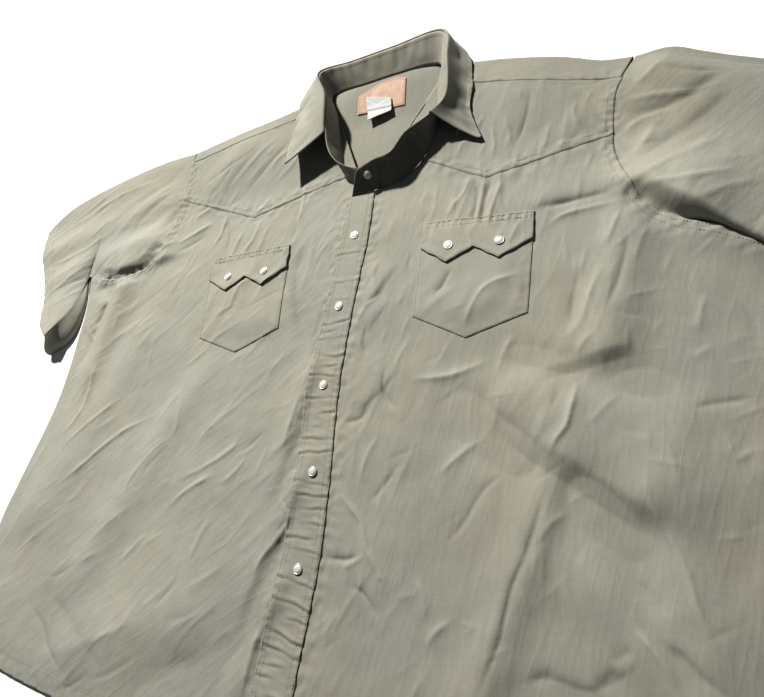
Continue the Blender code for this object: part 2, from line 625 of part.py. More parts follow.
def make_back_yoke():
    """Lies flat, then turns over the shoulders to the front shoulder seams.

    It is laid out by x and by s, the way along the cloth from the shoulder fold.
    """
    fold = smooth_line(SHOULDER_FOLD_RIGHT, 0.01)[::-1] + smooth_line(NECK_BACK, 0.01)[1:-1] \
        + smooth_line(SHOULDER_FOLD_LEFT, 0.01)
    seam = straight_line(SHOULDER_SEAM_RIGHT, 0.01)[::-1] + straight_line(SHOULDER_SEAM_LEFT, 0.01)
    turn = math.pi * FOLD_RADIUS
    neck_right = SHOULDER_SEAM_RIGHT[0][0] - 0.001
    neck_left = SHOULDER_SEAM_LEFT[0][0] + 0.001

    def over(x):
        return turn + y_on(fold, x) - y_on(seam, x)

    def place_middle(x, s):
        y = y_on(fold, x)
        low = back_height(x, y + min(s, 0.0))
        if s <= 0:
            return Vector((x, y + s, low))
        if s < turn:
            angle = s / FOLD_RADIUS
            return Vector((x, y + FOLD_RADIUS * math.sin(angle),
                           low + FOLD_RADIUS * (1 - math.cos(angle))))
        y -= s - turn
        return Vector((x, y, top_height(x, y)))

    def place(x, s):
        step = 0.0006
        along = place_middle(x, s + step) - place_middle(x, s - step)
        across = place_middle(x + step, s) - place_middle(x - step, s)
        return place_middle(x, s), across.cross(along).normalized()

    lowest = [Vector((p.x, p.y - y_on(fold, p.x))) for p in straight_line(BACK_YOKE_SEAM, 0.03)]
    steps = [0.0, turn / 4, turn / 2, 3 * turn / 4, turn]

    def shoulder(x_neck, x_arm):
        return [x_neck + (x_arm - x_neck) * k / 9 for k in range(10)]

    left_xs = shoulder(neck_left, 0.2945)
    right_xs = shoulder(neck_right, -0.3025)
    outline = lowest + [Vector((0.3065, s)) for s in steps[:-1]] + [Vector((0.3055, turn))]
    outline += [Vector((x, over(x))) for x in left_xs[::-1]]
    outline += [Vector((neck_left, turn + 0.012))]
    outline += [Vector((neck_left, s)) for s in steps[::-1]]
    outline += [Vector((x, -0.0002)) for x in (0.070, 0.050, 0.030, 0.010, -0.010, -0.030, -0.050)]
    outline += [Vector((neck_right, s)) for s in steps]
    outline += [Vector((x, over(x))) for x in right_xs]
    outline += [Vector((-0.303, s)) for s in steps[::-1]]
    extra = [Vector((x, s)) for xs in (left_xs[1:-1], right_xs[1:-1]) for x in xs for s in steps]
    return wall("back_yoke", outline, place, 0.030, extra=extra)


def make_placket(front_right):
    """The band lies over the right front's edge."""
    under = Under(front_right)
    half = PLACKET_HALF - SEAM_GAP / 2
    right = placket_line(-half, PLACKET_LATTICE)
    left = placket_line(half, PLACKET_LATTICE)
    for line in (right, left):
        line[-1].y += 0.001
    outline = joined(right, left[::-1])
    middle = placket_line(0.0, 0.01)

    def place(x, y):
        x_under = min(x, at_height(middle, y) + PLACKET_UNDERLAP - 0.0015)
        near = (-PLACKET_LATTICE / 2, 0.0, PLACKET_LATTICE / 2)
        tops = [under.top(x_under - abs(dx), y + dy) for dx in near[:2] for dy in near]
        z = max(top for top in tops if top is not None)
        return Vector((x, y, z + LAYER_GAP + CLOTH / 2)), UP
    return wall("placket", outline, place, PLACKET_LATTICE)


def at_height(line, y):
    """The x of a line at y; the line runs one way in y."""
    return y_on([Vector((p.y, p.x)) for p in line], y)


def turned(side, points):
    """A pocket's own points, x outwards from its middle and y down from its top, as laid."""
    x0, y0, degrees = POCKETS[side]
    out = 1 if side == "left" else -1
    c = math.cos(math.radians(degrees))
    s = math.sin(math.radians(degrees))
    return [Vector((x0 + c * out * x + s * y, y0 + s * out * x - c * y)) for x, y in points]


def make_pocket(side, front):
    half = POCKET_WIDTH / 2
    low = POCKET_BOTTOM_WIDTH / 2
    outline = turned(side, [(-half, -POCKET_TOP), (half, -POCKET_TOP), (low, POCKET_SIDE),
                            (0.0, POCKET_POINT), (-low, POCKET_SIDE)])
    outline = joined(straight_line([*outline, outline[0]], POCKET_LATTICE))
    return wall("pocket_" + side, outline, Under(front).laid_on(), POCKET_LATTICE)


def make_flap(side, pocket):
    half = POCKET_WIDTH / 2 - FLAP_EASE
    point = POCKET_WIDTH / 2 - FLAP_POINT_IN
    top = -POCKET_TOP + 0.0008
    outline = turned(side, [(-half, top), (half, top), (half, FLAP_SIDE), (point, FLAP_POINT),
                            (0.0, FLAP_VALLEY), (-point, FLAP_POINT), (-half, FLAP_SIDE)])
    outline = joined(straight_line([*outline, outline[0]], 0.011))
    return wall("flap_" + side, outline, Under(pocket).laid_on(), 0.011)


def make_sleeve(side):
    """One flattened tube: top layer, wall down to the table edge, and the layer beneath."""
    shape = SLEEVES[side]
    fold = smooth_line(shape["top"], 0.01)
    ridge = smooth_line(shape["ridge"], 0.01)
    edge = smooth_line(shape["edge"], 0.01)
    cuff = smooth_line(shape["cuff"], 0.01)
    upper_arm = smooth_line(shape["upper_arm"], 0.01)
    split = shape["top_at_upper_arm"]
    upper_arm[0] = at(fold, split)
    if side == "right":
        armhole, back_armhole, clear = ARMHOLE_RIGHT, BACK_ARMHOLE_RIGHT, -SLEEVE_CLEAR
    else:
        armhole, back_armhole, clear = ARMHOLE_LEFT, BACK_ARMHOLE_LEFT, SLEEVE_CLEAR
    fold[0].x += 2 * clear
    armhole = [fold[0]] + moved(smooth_line(armhole, 0.01), clear)
    armhole[-1] = Vector(shape["armpit"])
    back_armhole = moved(smooth_line(back_armhole, 0.01), 3 * clear)
    back_armhole[-1] = Vector(shape["armpit"])
    first_fold = [at(fold, split * k / 10) for k in range(11)]
    last_fold = [at(fold, split + (1 - split) * k / 10) for k in range(11)]
    armpit = armhole[-1]
    pieces = [(armhole, upper_arm, first_fold, [armpit, ridge[0]], [armpit, edge[0]]),
              (upper_arm, cuff, last_fold, ridge, edge)]
    grid = []
    for piece, (start, end, over, ridge_line, edge_line) in enumerate(pieces):
        count = SLEEVE_ROWS[piece]
        start_under = (upper_arm if piece else back_armhole)[:-1] + [edge_line[0]]
        end_under = end[:-1] + [edge_line[-1]] if piece == 0 else [end[0], edge_line[-1]]
        for j in range(count + piece):
            v = j / count
            swell = (shape["ridge_z"] - FOLD_Z) * smoothstep(v, -0.15, 0.8) if piece else 0.0
            row = []
            for k in range(SLEEVE_COLUMNS):
                u = k / (SLEEVE_COLUMNS - 1)
                flat = coons(start, end, over, ridge_line, u, v)
                settle = 1 - smoothstep(u, 0.6, 1.0) if piece else 1.0
                lift = (top_height(flat.x, flat.y) - FOLD_Z) * settle
                rise = swell * smoothstep(u, 0.45, 1.0)
                row.append(Vector((flat.x, flat.y, FOLD_Z + lift + rise)))
            ridge_point = row[-1]
            edge_point = at(edge_line, v)
            for k in range(1, SLEEVE_WALL_ROWS + 1):
                t = k / (SLEEVE_WALL_ROWS + 1)
                flat = ridge_point.xy.lerp(edge_point, math.sin(t * math.pi / 2))
                z = FOLD_Z + (ridge_point.z - FOLD_Z) * (1 - t) ** 0.8
                row.append(Vector((flat.x, flat.y, z)))
            row.append(Vector((edge_point.x, edge_point.y, BACK_Z + FOLD_RADIUS)))
            for k in range(SLEEVE_UNDER):
                t = (k + 0.4) / SLEEVE_UNDER
                flat = coons(start_under, end_under, over, edge_line, 1 - t, v)
                row.append(Vector((flat.x, flat.y, BACK_Z)))
            top_point = at(over, v)
            away = (top_point - edge_point).normalized()
            row.append(Vector((top_point.x + away.x * FOLD_RADIUS,
                               top_point.y + away.y * FOLD_RADIUS, BACK_Z + FOLD_RADIUS)))
            grid.append(row if side == "left" else row[::-1])
    under_first = SLEEVE_COLUMNS + SLEEVE_WALL_ROWS + 1
    columns = len(grid[0])

    def facing(j, k):
        place = k if side == "left" else columns - 1 - k
        if under_first <= place < under_first + SLEEVE_UNDER:
            return -UP
        if j == 0 and place < SLEEVE_COLUMNS:
            return UP
        return None
    return grid_wall("sleeve_" + side, grid, CLOTH, closed=True, facing=facing)


def coons(start, end, first, last, u, v):
    """A patch between four lines: start and end run along u, first and last along v."""
    a = at(start, u).lerp(at(end, u), v)
    b = at(first, v).lerp(at(last, v), u)
    corner = at(start, 0).lerp(at(end, 0), v).lerp(at(start, 1).lerp(at(end, 1), v), u)
    return a + b - corner


def station_line(column, rows):
    """A smooth line through one column of the collar's table, a set number of steps a station."""
    points = [row[column] for row in rows]
    ends = [tuple(2 * a - b for a, b in zip(points[0], points[1]))]
    tail = [tuple(2 * a - b for a, b in zip(points[-1], points[-2]))]
    p = [Vector(q) for q in ends + points + tail]
    line = []
    for i in range(1, len(p) - 2):
        line += [catmull(p[i - 1:i + 3], k / COLLAR_STEPS) for k in range(COLLAR_STEPS)]
    return line + [p[-2].copy()]


def make_stand(*neck_pieces):
    """The band stands on the edge of the neck, lifted off it by a seam's gap."""
    under = Under(*neck_pieces)
    foot = station_line(1, COLLAR)
    near = (-0.0025, 0.0, 0.0025)
    for point in foot:
        tops = [under.top(point.x + dx, point.y + dy) for dx in near for dy in near]
        tops = [top + LAYER_GAP + BAND_CLOTH / 2 for top in tops if top is not None]
        point.z = max([point.z] + tops)
    top = station_line(2, COLLAR)
    middle = [a.lerp(b, 0.5) for a, b in zip(foot, top)]
    return grid_wall("collar_stand", [foot, middle, top], BAND_CLOTH)


def make_leaf():
    stations = [i for i, row in enumerate(COLLAR) if row[3]]
    first = stations[0] * COLLAR_STEPS
    last = stations[-1] * COLLAR_STEPS
    foot = station_line(1, COLLAR)[first:last + 1]
    top = station_line(2, COLLAR)[first:last + 1]
    edge = station_line(3, [COLLAR[i] for i in stations])
    grid = [[], [], [], [], [], []]
    for a, b, c in zip(foot, top, edge):
        rise = (b - a).normalized()
        out = (c - b) - rise * (c - b).dot(rise)
        out.normalize()
        start = b + rise * (SEAM_GAP + 0.0002) + out * 0.0002
        crest = b + rise * LEAF_RISE + out * LEAF_ROLL * 0.45
        turn = b + rise * LEAF_RISE * 0.75 + out * LEAF_ROLL
        drop = c - turn
        bulge = out * 0.004
        grid[0].append(start)
        grid[1].append(b + rise * LEAF_RISE * 0.72 + out * 0.0004)
        grid[2].append(crest)
        grid[3].append(turn)
        grid[4].append(turn + drop * 0.45 + bulge)
        grid[5].append(c)
    return grid_wall("collar_leaf", grid[::-1], BAND_CLOTH)


def make_snap(name, x, y, under):
    """A capped snap: a flat-backed disc with a rim and a low dome."""
    profile = [(1.00, 0.00), (1.02, 0.30), (0.98, 0.62), (0.86, 0.80), (0.76, 0.72),
               (0.55, 0.90), (0.28, 0.99)]
    sides = 16
    reach = SNAP_RADIUS
    heights = {}
    for dx, dy in ((reach, 0), (-reach, 0), (0, reach), (0, -reach)):
        heights[dx, dy] = under.top(x + dx, y + dy)
    slope_x = (heights[reach, 0] - heights[-reach, 0]) / (2 * reach)
    slope_y = (heights[0, reach] - heights[0, -reach]) / (2 * reach)
    normal = Vector((-slope_x, -slope_y, 1.0)).normalized()
    across = Vector((1.0, 0.0, 0.0))
    across = (across - normal * across.dot(normal)).normalized()
    along = normal.cross(across)
    centre = Vector((x, y, under.top(x, y)))
    lift = 0.0
    for ring in (0.5, 1.0):
        for k in range(sides):
            angle = 2 * math.pi * k / sides
            spot = centre + (across * math.cos(angle) + along * math.sin(angle)) * reach * ring
            height = under.top(spot.x, spot.y)
            if height is not None:
                lift = max(lift, height - spot.z)
    base = centre + UP * (lift + LAYER_GAP)
    vertices = []
    for radius, height in profile:
        for k in range(sides):
            angle = 2 * math.pi * k / sides
            vertices.append(base + (across * math.cos(angle) + along * math.sin(angle))
                            * reach * radius + normal * SNAP_HEIGHT * height)
    faces = []
    for j in range(len(profile) - 1):
        for k in range(sides):
            a = j * sides + k
            b = j * sides + (k + 1) % sides
            faces.append((a, b, b + sides, a + sides))
    faces.append(tuple(range(sides))[::-1])
    vertices.append(base + normal * SNAP_HEIGHT)
    last = (len(profile) - 1) * sides
    for k in range(sides):
        faces.append((last + k, last + (k + 1) % sides, len(vertices) - 1))
    return new_object(name, vertices, faces, material("pearl", PEARL, 0.25))


def make_snaps(placket, flaps, stand):
    on_placket = Under(placket)
    middle = placket_line(0.0, 0.01)
    for k in range(SNAP_COUNT):
        y = -k * SNAP_PITCH
        make_snap(f"snap_placket_{k + 1}", at_height(middle, y), y, on_placket)
    make_snap("snap_neck", *NECK_SNAP, Under(stand))
    for side, flap in flaps.items():
        half = POCKET_WIDTH / 2 - FLAP_SNAP_IN
        for place, x in (("inner", -half), ("outer", half)):
            spot = turned(side, [(x, FLAP_SNAP_DOWN)])[0]
            make_snap(f"snap_flap_{side}_{place}", spot.x, spot.y, Under(flap))


def make_label(yoke):
    outline = joined(straight_line([*LABEL, LABEL[0]], 0.02))
    under = Under(yoke).laid_on(LABEL_GAP, LABEL_CLOTH)
    obj = wall("neck_label", outline, under, 0.015, LABEL_CLOTH)
    obj.data.materials[0] = material("label", LABEL_TAN, 0.8)
    return obj


def make_tag(yoke, label):
    under = Under(yoke, label)
    outline = joined(straight_line([*TAG, TAG[0]], 0.012))

    def place(x, y):
        z = max(under.top(x + dx, y + dy) for dx in (-0.003, 0, 0.003) for dy in (-0.003, 0, 0.003))
        lift = TAG_LIFT * smoothstep(TAG_FLAT_FROM - y, 0.0, 0.030)
        return Vector((x, y, z + TAG_GAP + LABEL_CLOTH / 2 + lift)), UP
    obj = wall("size_tag", outline, place, 0.010, LABEL_CLOTH)
    obj.data.materials[0] = material("tag", TAG_WHITE, 0.8)
    return obj


def stand_on_origin():
    """Moves every mesh so that the garment's box stands centred on the origin."""
    meshes = [obj.data for obj in bpy.context.scene.objects]
    points = [v.co for mesh in meshes for v in mesh.vertices]
    middle_x = (min(p.x for p in points) + max(p.x for p in points)) / 2
    middle_y = (min(p.y for p in points) + max(p.y for p in points)) / 2
    lowest = min(p.z for p in points)
    shift = Vector((-middle_x, -middle_y, -lowest))
    for mesh in meshes:
        for vertex in mesh.vertices:
            vertex.co += shift
        mesh.update()


def build():
    for obj in list(bpy.data.objects):
        bpy.data.objects.remove(obj, do_unlink=True)
    make_back()
    yoke = make_back_yoke()
    fronts = {side: make_front(side) for side in ("right", "left")}
    front_yokes = [make_front_yoke(side) for side in fronts]
    for side in fronts:
        make_sleeve(side)
    placket = make_placket(fronts["right"])
    flaps = {}
    for side, front in fronts.items():
        pocket = make_pocket(side, front)
        flaps[side] = make_flap(side, pocket)
    stand = make_stand(yoke, *front_yokes, *fronts.values())
    make_leaf()
    make_snaps(placket, flaps, stand)
    label = make_label(yoke)
    make_tag(yoke, label)
    stand_on_origin()


build()
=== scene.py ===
"""The looks of the western snap shirt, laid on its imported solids.

Everything is laid out as in the part: round the top placket snap, in metres, with +X to the
wearer's left, +Y to the collar and z = 0 on the table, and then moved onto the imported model.
"""
import math

import bpy
import numpy as np
from mathutils import Matrix, Vector
from mathutils.bvhtree import BVHTree
from mathutils.geometry import delaunay_2d_cdt


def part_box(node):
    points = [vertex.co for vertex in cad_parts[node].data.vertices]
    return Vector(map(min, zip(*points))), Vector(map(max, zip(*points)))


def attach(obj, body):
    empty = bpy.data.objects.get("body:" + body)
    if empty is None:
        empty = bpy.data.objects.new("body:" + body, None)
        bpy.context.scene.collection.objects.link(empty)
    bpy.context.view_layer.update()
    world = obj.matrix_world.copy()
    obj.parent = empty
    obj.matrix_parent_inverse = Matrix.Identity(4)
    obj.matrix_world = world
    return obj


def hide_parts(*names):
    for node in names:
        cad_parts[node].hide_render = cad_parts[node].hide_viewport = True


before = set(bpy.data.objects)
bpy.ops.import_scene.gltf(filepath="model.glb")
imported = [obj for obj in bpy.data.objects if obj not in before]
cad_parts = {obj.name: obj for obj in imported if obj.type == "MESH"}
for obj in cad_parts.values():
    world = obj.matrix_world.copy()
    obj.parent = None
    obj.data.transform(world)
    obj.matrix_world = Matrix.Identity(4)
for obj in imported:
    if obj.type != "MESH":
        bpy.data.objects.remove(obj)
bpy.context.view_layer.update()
MM = 0.001

# ---------------------------------------------------------------- the part's own sizes
CLOTH = 0.0012
FOLD_RADIUS = 0.0013
BACK_Z = CLOTH / 2
SEAM_Z = BACK_Z + CLOTH + 0.0003
FOLD_Z = BACK_Z + 2 * FOLD_RADIUS
PUFF = 0.0035
PUFF_REACH = 0.030
FOLD_FADE = 0.022
SNAP_PITCH = 0.092
PLACKET_HALF = 0.0175
PLACKET_UNDERLAP = 0.0140
HEM_AT_PLACKET = -0.5480
HEM_DEPTH = 0.0185
POCKET_WIDTH = 0.1216
POCKET_BOTTOM_WIDTH = 0.1191
POCKET_TOP = 0.004
POCKET_SIDE = 0.1165
POCKET_POINT = 0.1411
FLAP_SIDE = 0.0356
FLAP_POINT = 0.0562
FLAP_POINT_IN = 0.0329
FLAP_VALLEY = 0.0400
FLAP_SNAP_IN = 0.0334
FLAP_SNAP_DOWN = 0.0360
SIDES = ("right", "left")
OUTWARD = {"right": -1, "left": 1}
POCKETS = {"right": (-0.1480, -0.0017, 3.9), "left": (0.1497, 0.0061, -1.3)}

SHIRTING = 0.0006         # walls of the cloth as seen
PLACKET_WALL = 0.0010
FLAP_WALL = 0.0009
COLLAR_WALL = 0.0012
LABEL_WALL = 0.0006
PLACKET_UP = 0.0014       # middles of the walls above what they lie on
POCKET_UP = 0.0009
FLAP_UP = 0.0010
LABEL_UP = 0.0009
TAG_UP = 0.0012
SEWN_IN = 0.0016          # rows of stitches in from the placket's and the pockets' edges
SECOND_ROW = 0.0068
LABEL_CORNER = (-0.0250, 0.1890)

# ---------------------------------------------------------------- outlines as laid
SHOULDER_FOLD = {
    "right": [(-0.0690, 0.2365), (-0.120, 0.2290), (-0.170, 0.2185), (-0.220, 0.2095),
              (-0.261, 0.2000), (-0.303, 0.1900)],
    "left": [(0.0900, 0.2430), (0.130, 0.2330), (0.161, 0.2270), (0.200, 0.2170), (0.231, 0.2070),
             (0.254, 0.1970), (0.275, 0.1870), (0.307, 0.1820)],
}
SHOULDER_SEAM = {
    "right": [(-0.0665, 0.2235), (-0.117, 0.2120), (-0.303, 0.1720)],
    "left": [(0.0875, 0.2110), (0.133, 0.1980), (0.295, 0.1530)],
}
ARMHOLE = {
    "right": [(-0.303, 0.1720), (-0.298, 0.1500), (-0.294, 0.0990), (-0.297, 0.0600),
              (-0.312, 0.0140), (-0.331, -0.0090), (-0.366, -0.0210), (-0.403, -0.0220),
              (-0.452, -0.0120)],
    "left": [(0.295, 0.1530), (0.287, 0.1300), (0.284, 0.0810), (0.287, 0.0500), (0.305, 0.0010),
             (0.331, -0.0260), (0.377, -0.0470), (0.410, -0.0640), (0.452, -0.0780)],
}
SIDE = {
    "right": [(-0.452, -0.0120), (-0.439, -0.0670), (-0.4365, -0.1100), (-0.436, -0.2050),
              (-0.459, -0.3160), (-0.470, -0.3710), (-0.478, -0.4900)],
    "left": [(0.452, -0.0780), (0.446, -0.1300), (0.447, -0.2050), (0.461, -0.3160),
             (0.468, -0.3710), (0.474, -0.4860)],
}
HEM = {
    "right": [(-0.478, -0.4900), (-0.430, -0.5190), (-0.378, -0.5280), (-0.290, -0.5350),
              (-0.150, -0.5440), (0.000, HEM_AT_PLACKET)],
    "left": [(0.000, HEM_AT_PLACKET), (0.150, -0.5440), (0.290, -0.5350), (0.378, -0.5260),
             (0.430, -0.5160), (0.474, -0.4860)],
}
PLACKET_LINE = [(0.0030, 0.0600), (0.0030, 0.0000), (-0.0020, -0.0900), (-0.0060, -0.1880),
                (-0.0010, -0.2750), (0.0000, -0.3680), (-0.0070, -0.4700),
                (-0.0090, HEM_AT_PLACKET)]
YOKE_SEAM = {
    "right": [(-0.294, 0.0990), (-0.156, 0.0510), (-0.0252, 0.0904)],
    "left": [(0.284, 0.0810), (0.156, 0.0550), (0.0800, 0.0945)],
}
NECK = {
    "right": [(0.0060, 0.0650), (-0.0070, 0.0745), (-0.0275, 0.0945), (-0.0345, 0.1180),
              (-0.0385, 0.1400), (-0.0520, 0.1880), (-0.0665, 0.2235)],
    "left": [(0.0060, 0.0650), (0.0500, 0.0700), (0.0680, 0.0790), (0.0820, 0.0985),
             (0.0895, 0.1220), (0.0900, 0.1500), (0.0870, 0.1850), (0.0875, 0.2110)],
}
NECK_BACK = [(-0.0690, 0.2365), (-0.020, 0.2375), (0.030, 0.2420), (0.0900, 0.2430)]
BACK_ARMHOLE = {
    "right": [(-0.303, 0.1900), (-0.303, 0.0900), (-0.308, 0.0300)] + ARMHOLE["right"][5:],
    "left": [(0.307, 0.1820), (0.305, 0.0900), (0.310, 0.0050)] + ARMHOLE["left"][5:],
}
BACK_YOKE_SEAM = [(-0.302, 0.0900), (0.000, 0.0500), (0.304, 0.0900)]
NECK_RISE = 0.0082
NECK_RISE_FROM = 0.165
NECK_RISE_TO = 0.238
NECK_MIDDLE = 0.010
NECK_RISE_FULL = 0.035
NECK_RISE_END = 0.115

SLEEVES = {
    "right": {
        "top": [(-0.303, 0.1900), (-0.354, 0.1870), (-0.403, 0.1790), (-0.453, 0.1670),
                (-0.512, 0.1500), (-0.559, 0.1310), (-0.591, 0.1060), (-0.605, 0.0900)],
        "upper_arm": [(-0.416, 0.1765), (-0.437, 0.1100), (-0.450, 0.0500), (-0.4605, -0.0110)],
        "armpit": (-0.4560, -0.0080),
        "ridge": [(-0.4605, -0.0110), (-0.4565, -0.0420), (-0.4570, -0.0700), (-0.4640, -0.0920),
                  (-0.4730, -0.1170)],
        "ridge_z": 0.029,
        "edge": [(-0.4600, -0.0140), (-0.4490, -0.0500), (-0.4465, -0.0880), (-0.4550, -0.1140),
                 (-0.4890, -0.1360)],
        "cuff": [(-0.605, 0.0900), (-0.576, 0.0220), (-0.540, -0.0330), (-0.500, -0.0930),
                 (-0.4730, -0.1170)],
    },
    "left": {
        "top": [(0.307, 0.1820), (0.341, 0.1840), (0.369, 0.1690), (0.393, 0.1550),
                (0.418, 0.1420), (0.500, 0.0980), (0.558, 0.0620), (0.580, 0.0440)],
        "upper_arm": [(0.403, 0.1500), (0.425, 0.0900), (0.445, 0.0100), (0.4610, -0.0790)],
        "armpit": (0.4560, -0.0740),
        "ridge": [(0.4610, -0.0790), (0.4620, -0.1000), (0.4670, -0.1280), (0.4740, -0.1680)],
        "ridge_z": 0.022,
        "edge": [(0.4600, -0.0830), (0.4585, -0.1100), (0.4600, -0.1400), (0.4700, -0.1880)],
        "cuff": [(0.580, 0.0440), (0.556, -0.0120), (0.528, -0.0680), (0.500, -0.1200),
                 (0.4740, -0.1680)],
    },
}
SPLIT = 0.34
SLEEVE_CLEAR = 0.0008

FOLDS = [
    # x0, y0, x1, y1, rise, width on its left, width on its right
    (-0.027, -0.185, -0.042, -0.270, 0.0038, 0.009, 0.018),
    (-0.020, -0.300, -0.050, -0.388, 0.0036, 0.009, 0.020),
    (-0.024, -0.405, -0.045, -0.470, 0.0030, 0.009, 0.018),
    (0.165, -0.215, 0.300, -0.305, -0.0050, 0.022, 0.026),
    (0.205, -0.195, 0.320, -0.262, 0.0040, 0.040, 0.034),
    (0.233, -0.268, 0.181, -0.433, 0.0050, 0.016, 0.022),
    (0.318, -0.290, 0.345, -0.420, 0.0042, 0.026, 0.026),
    (0.275, -0.355, 0.325, -0.420, 0.0050, 0.018, 0.018),
    (0.302, 0.000, 0.275, -0.140, 0.0060, 0.026, 0.024),
    (0.210, -0.160, 0.295, -0.180, -0.0040, 0.020, 0.020),
    (-0.150, -0.510, -0.035, -0.440, -0.0022, 0.030, 0.030),
    (-0.260, -0.480, -0.130, -0.420, 0.0042, 0.040, 0.040),
    (-0.300, -0.120, -0.400, -0.350, 0.0052, 0.045, 0.040),
    (-0.190, -0.190, -0.290, -0.400, 0.0032, 0.026, 0.026),
    (-0.365, -0.045, -0.375, -0.160, 0.0090, 0.020, 0.026),
    (-0.398, -0.050, -0.408, -0.115, -0.0050, 0.018, 0.016),
    (-0.330, 0.100, -0.560, 0.045, 0.0060, 0.026, 0.030),
    (-0.345, 0.035, -0.520, -0.010, 0.0060, 0.024, 0.026),
    (-0.318, 0.002, -0.392, -0.014, 0.0085, 0.009, 0.040),
    (0.318, 0.006, 0.345, -0.010, 0.0135, 0.050, 0.011),
    (0.345, -0.010, 0.440, -0.058, 0.0140, 0.050, 0.011),
    (0.335, 0.140, 0.470, 0.020, 0.0070, 0.028, 0.030),
    (0.340, 0.165, 0.420, 0.110, 0.0080, 0.020, 0.030),
    (-0.200, 0.175, -0.235, 0.115, 0.0040, 0.030, 0.030),
    (0.190, 0.160, 0.240, 0.110, 0.0040, 0.030, 0.030),
]
TAPER = 0.035

COLLAR = [
    ((0.0200, 0.0668, 0.0090), (0.0230, 0.0860, 0.0180), None),
    ((-0.0080, 0.0755, 0.0086), (-0.0115, 0.0895, 0.0240), None),
    ((-0.0270, 0.0960, 0.0086), (-0.0355, 0.1060, 0.0310), None),
    ((-0.0385, 0.1400, 0.0086), (-0.0490, 0.1420, 0.0340), (-0.1038, 0.1068, 0.0310)),
    ((-0.0525, 0.1900, 0.0080), (-0.0550, 0.1970, 0.0400), (-0.1190, 0.2000, 0.0110)),
    ((-0.0660, 0.2325, 0.0050), (-0.0785, 0.2511, 0.0320), (-0.1080, 0.2640, 0.0050)),
    ((-0.0200, 0.2355, 0.0098), (-0.0310, 0.2612, 0.0273), (-0.0290, 0.2690, 0.0050)),
    ((0.0300, 0.2395, 0.0098), (0.0253, 0.2674, 0.0265), (0.0300, 0.2755, 0.0050)),
    ((0.0860, 0.2390, 0.0050), (0.0918, 0.2699, 0.0285), (0.1140, 0.2560, 0.0070)),
    ((0.0872, 0.2020, 0.0080), (0.1023, 0.2199, 0.0310), (0.1318, 0.1974, 0.0082)),
    ((0.0890, 0.1640, 0.0090), (0.1061, 0.1630, 0.0305), (0.1322, 0.1538, 0.0094)),
    ((0.0900, 0.1300, 0.0090), (0.0905, 0.1370, 0.0320), (0.1507, 0.1027, 0.0105)),
    ((0.0790, 0.0950, 0.0085), (0.0639, 0.1136, 0.0360), None),
    ((0.0520, 0.0690, 0.0085), (0.0495, 0.0891, 0.0360), None),
    ((0.0200, 0.0608, 0.0100), (0.0263, 0.0842, 0.0340), None),
    ((-0.0090, 0.0568, 0.0105), (0.0032, 0.0772, 0.0290), None),
]
NECK_SNAP = (0.0168, 0.0716)
LEAF_RISE = 0.0024
LEAF_ROLL = 0.0030
LABEL = [(-0.0250, 0.1900), (0.0430, 0.1890), (0.0425, 0.2290), (0.0300, 0.2330),
         (0.0050, 0.2300), (-0.0250, 0.2170)]
TAG = [(-0.0050, 0.1720), (0.0270, 0.1810), (0.0240, 0.2030), (-0.0130, 0.2130)]
TAG_LIFT = 0.0060
TAG_FLAT_FROM = 0.200

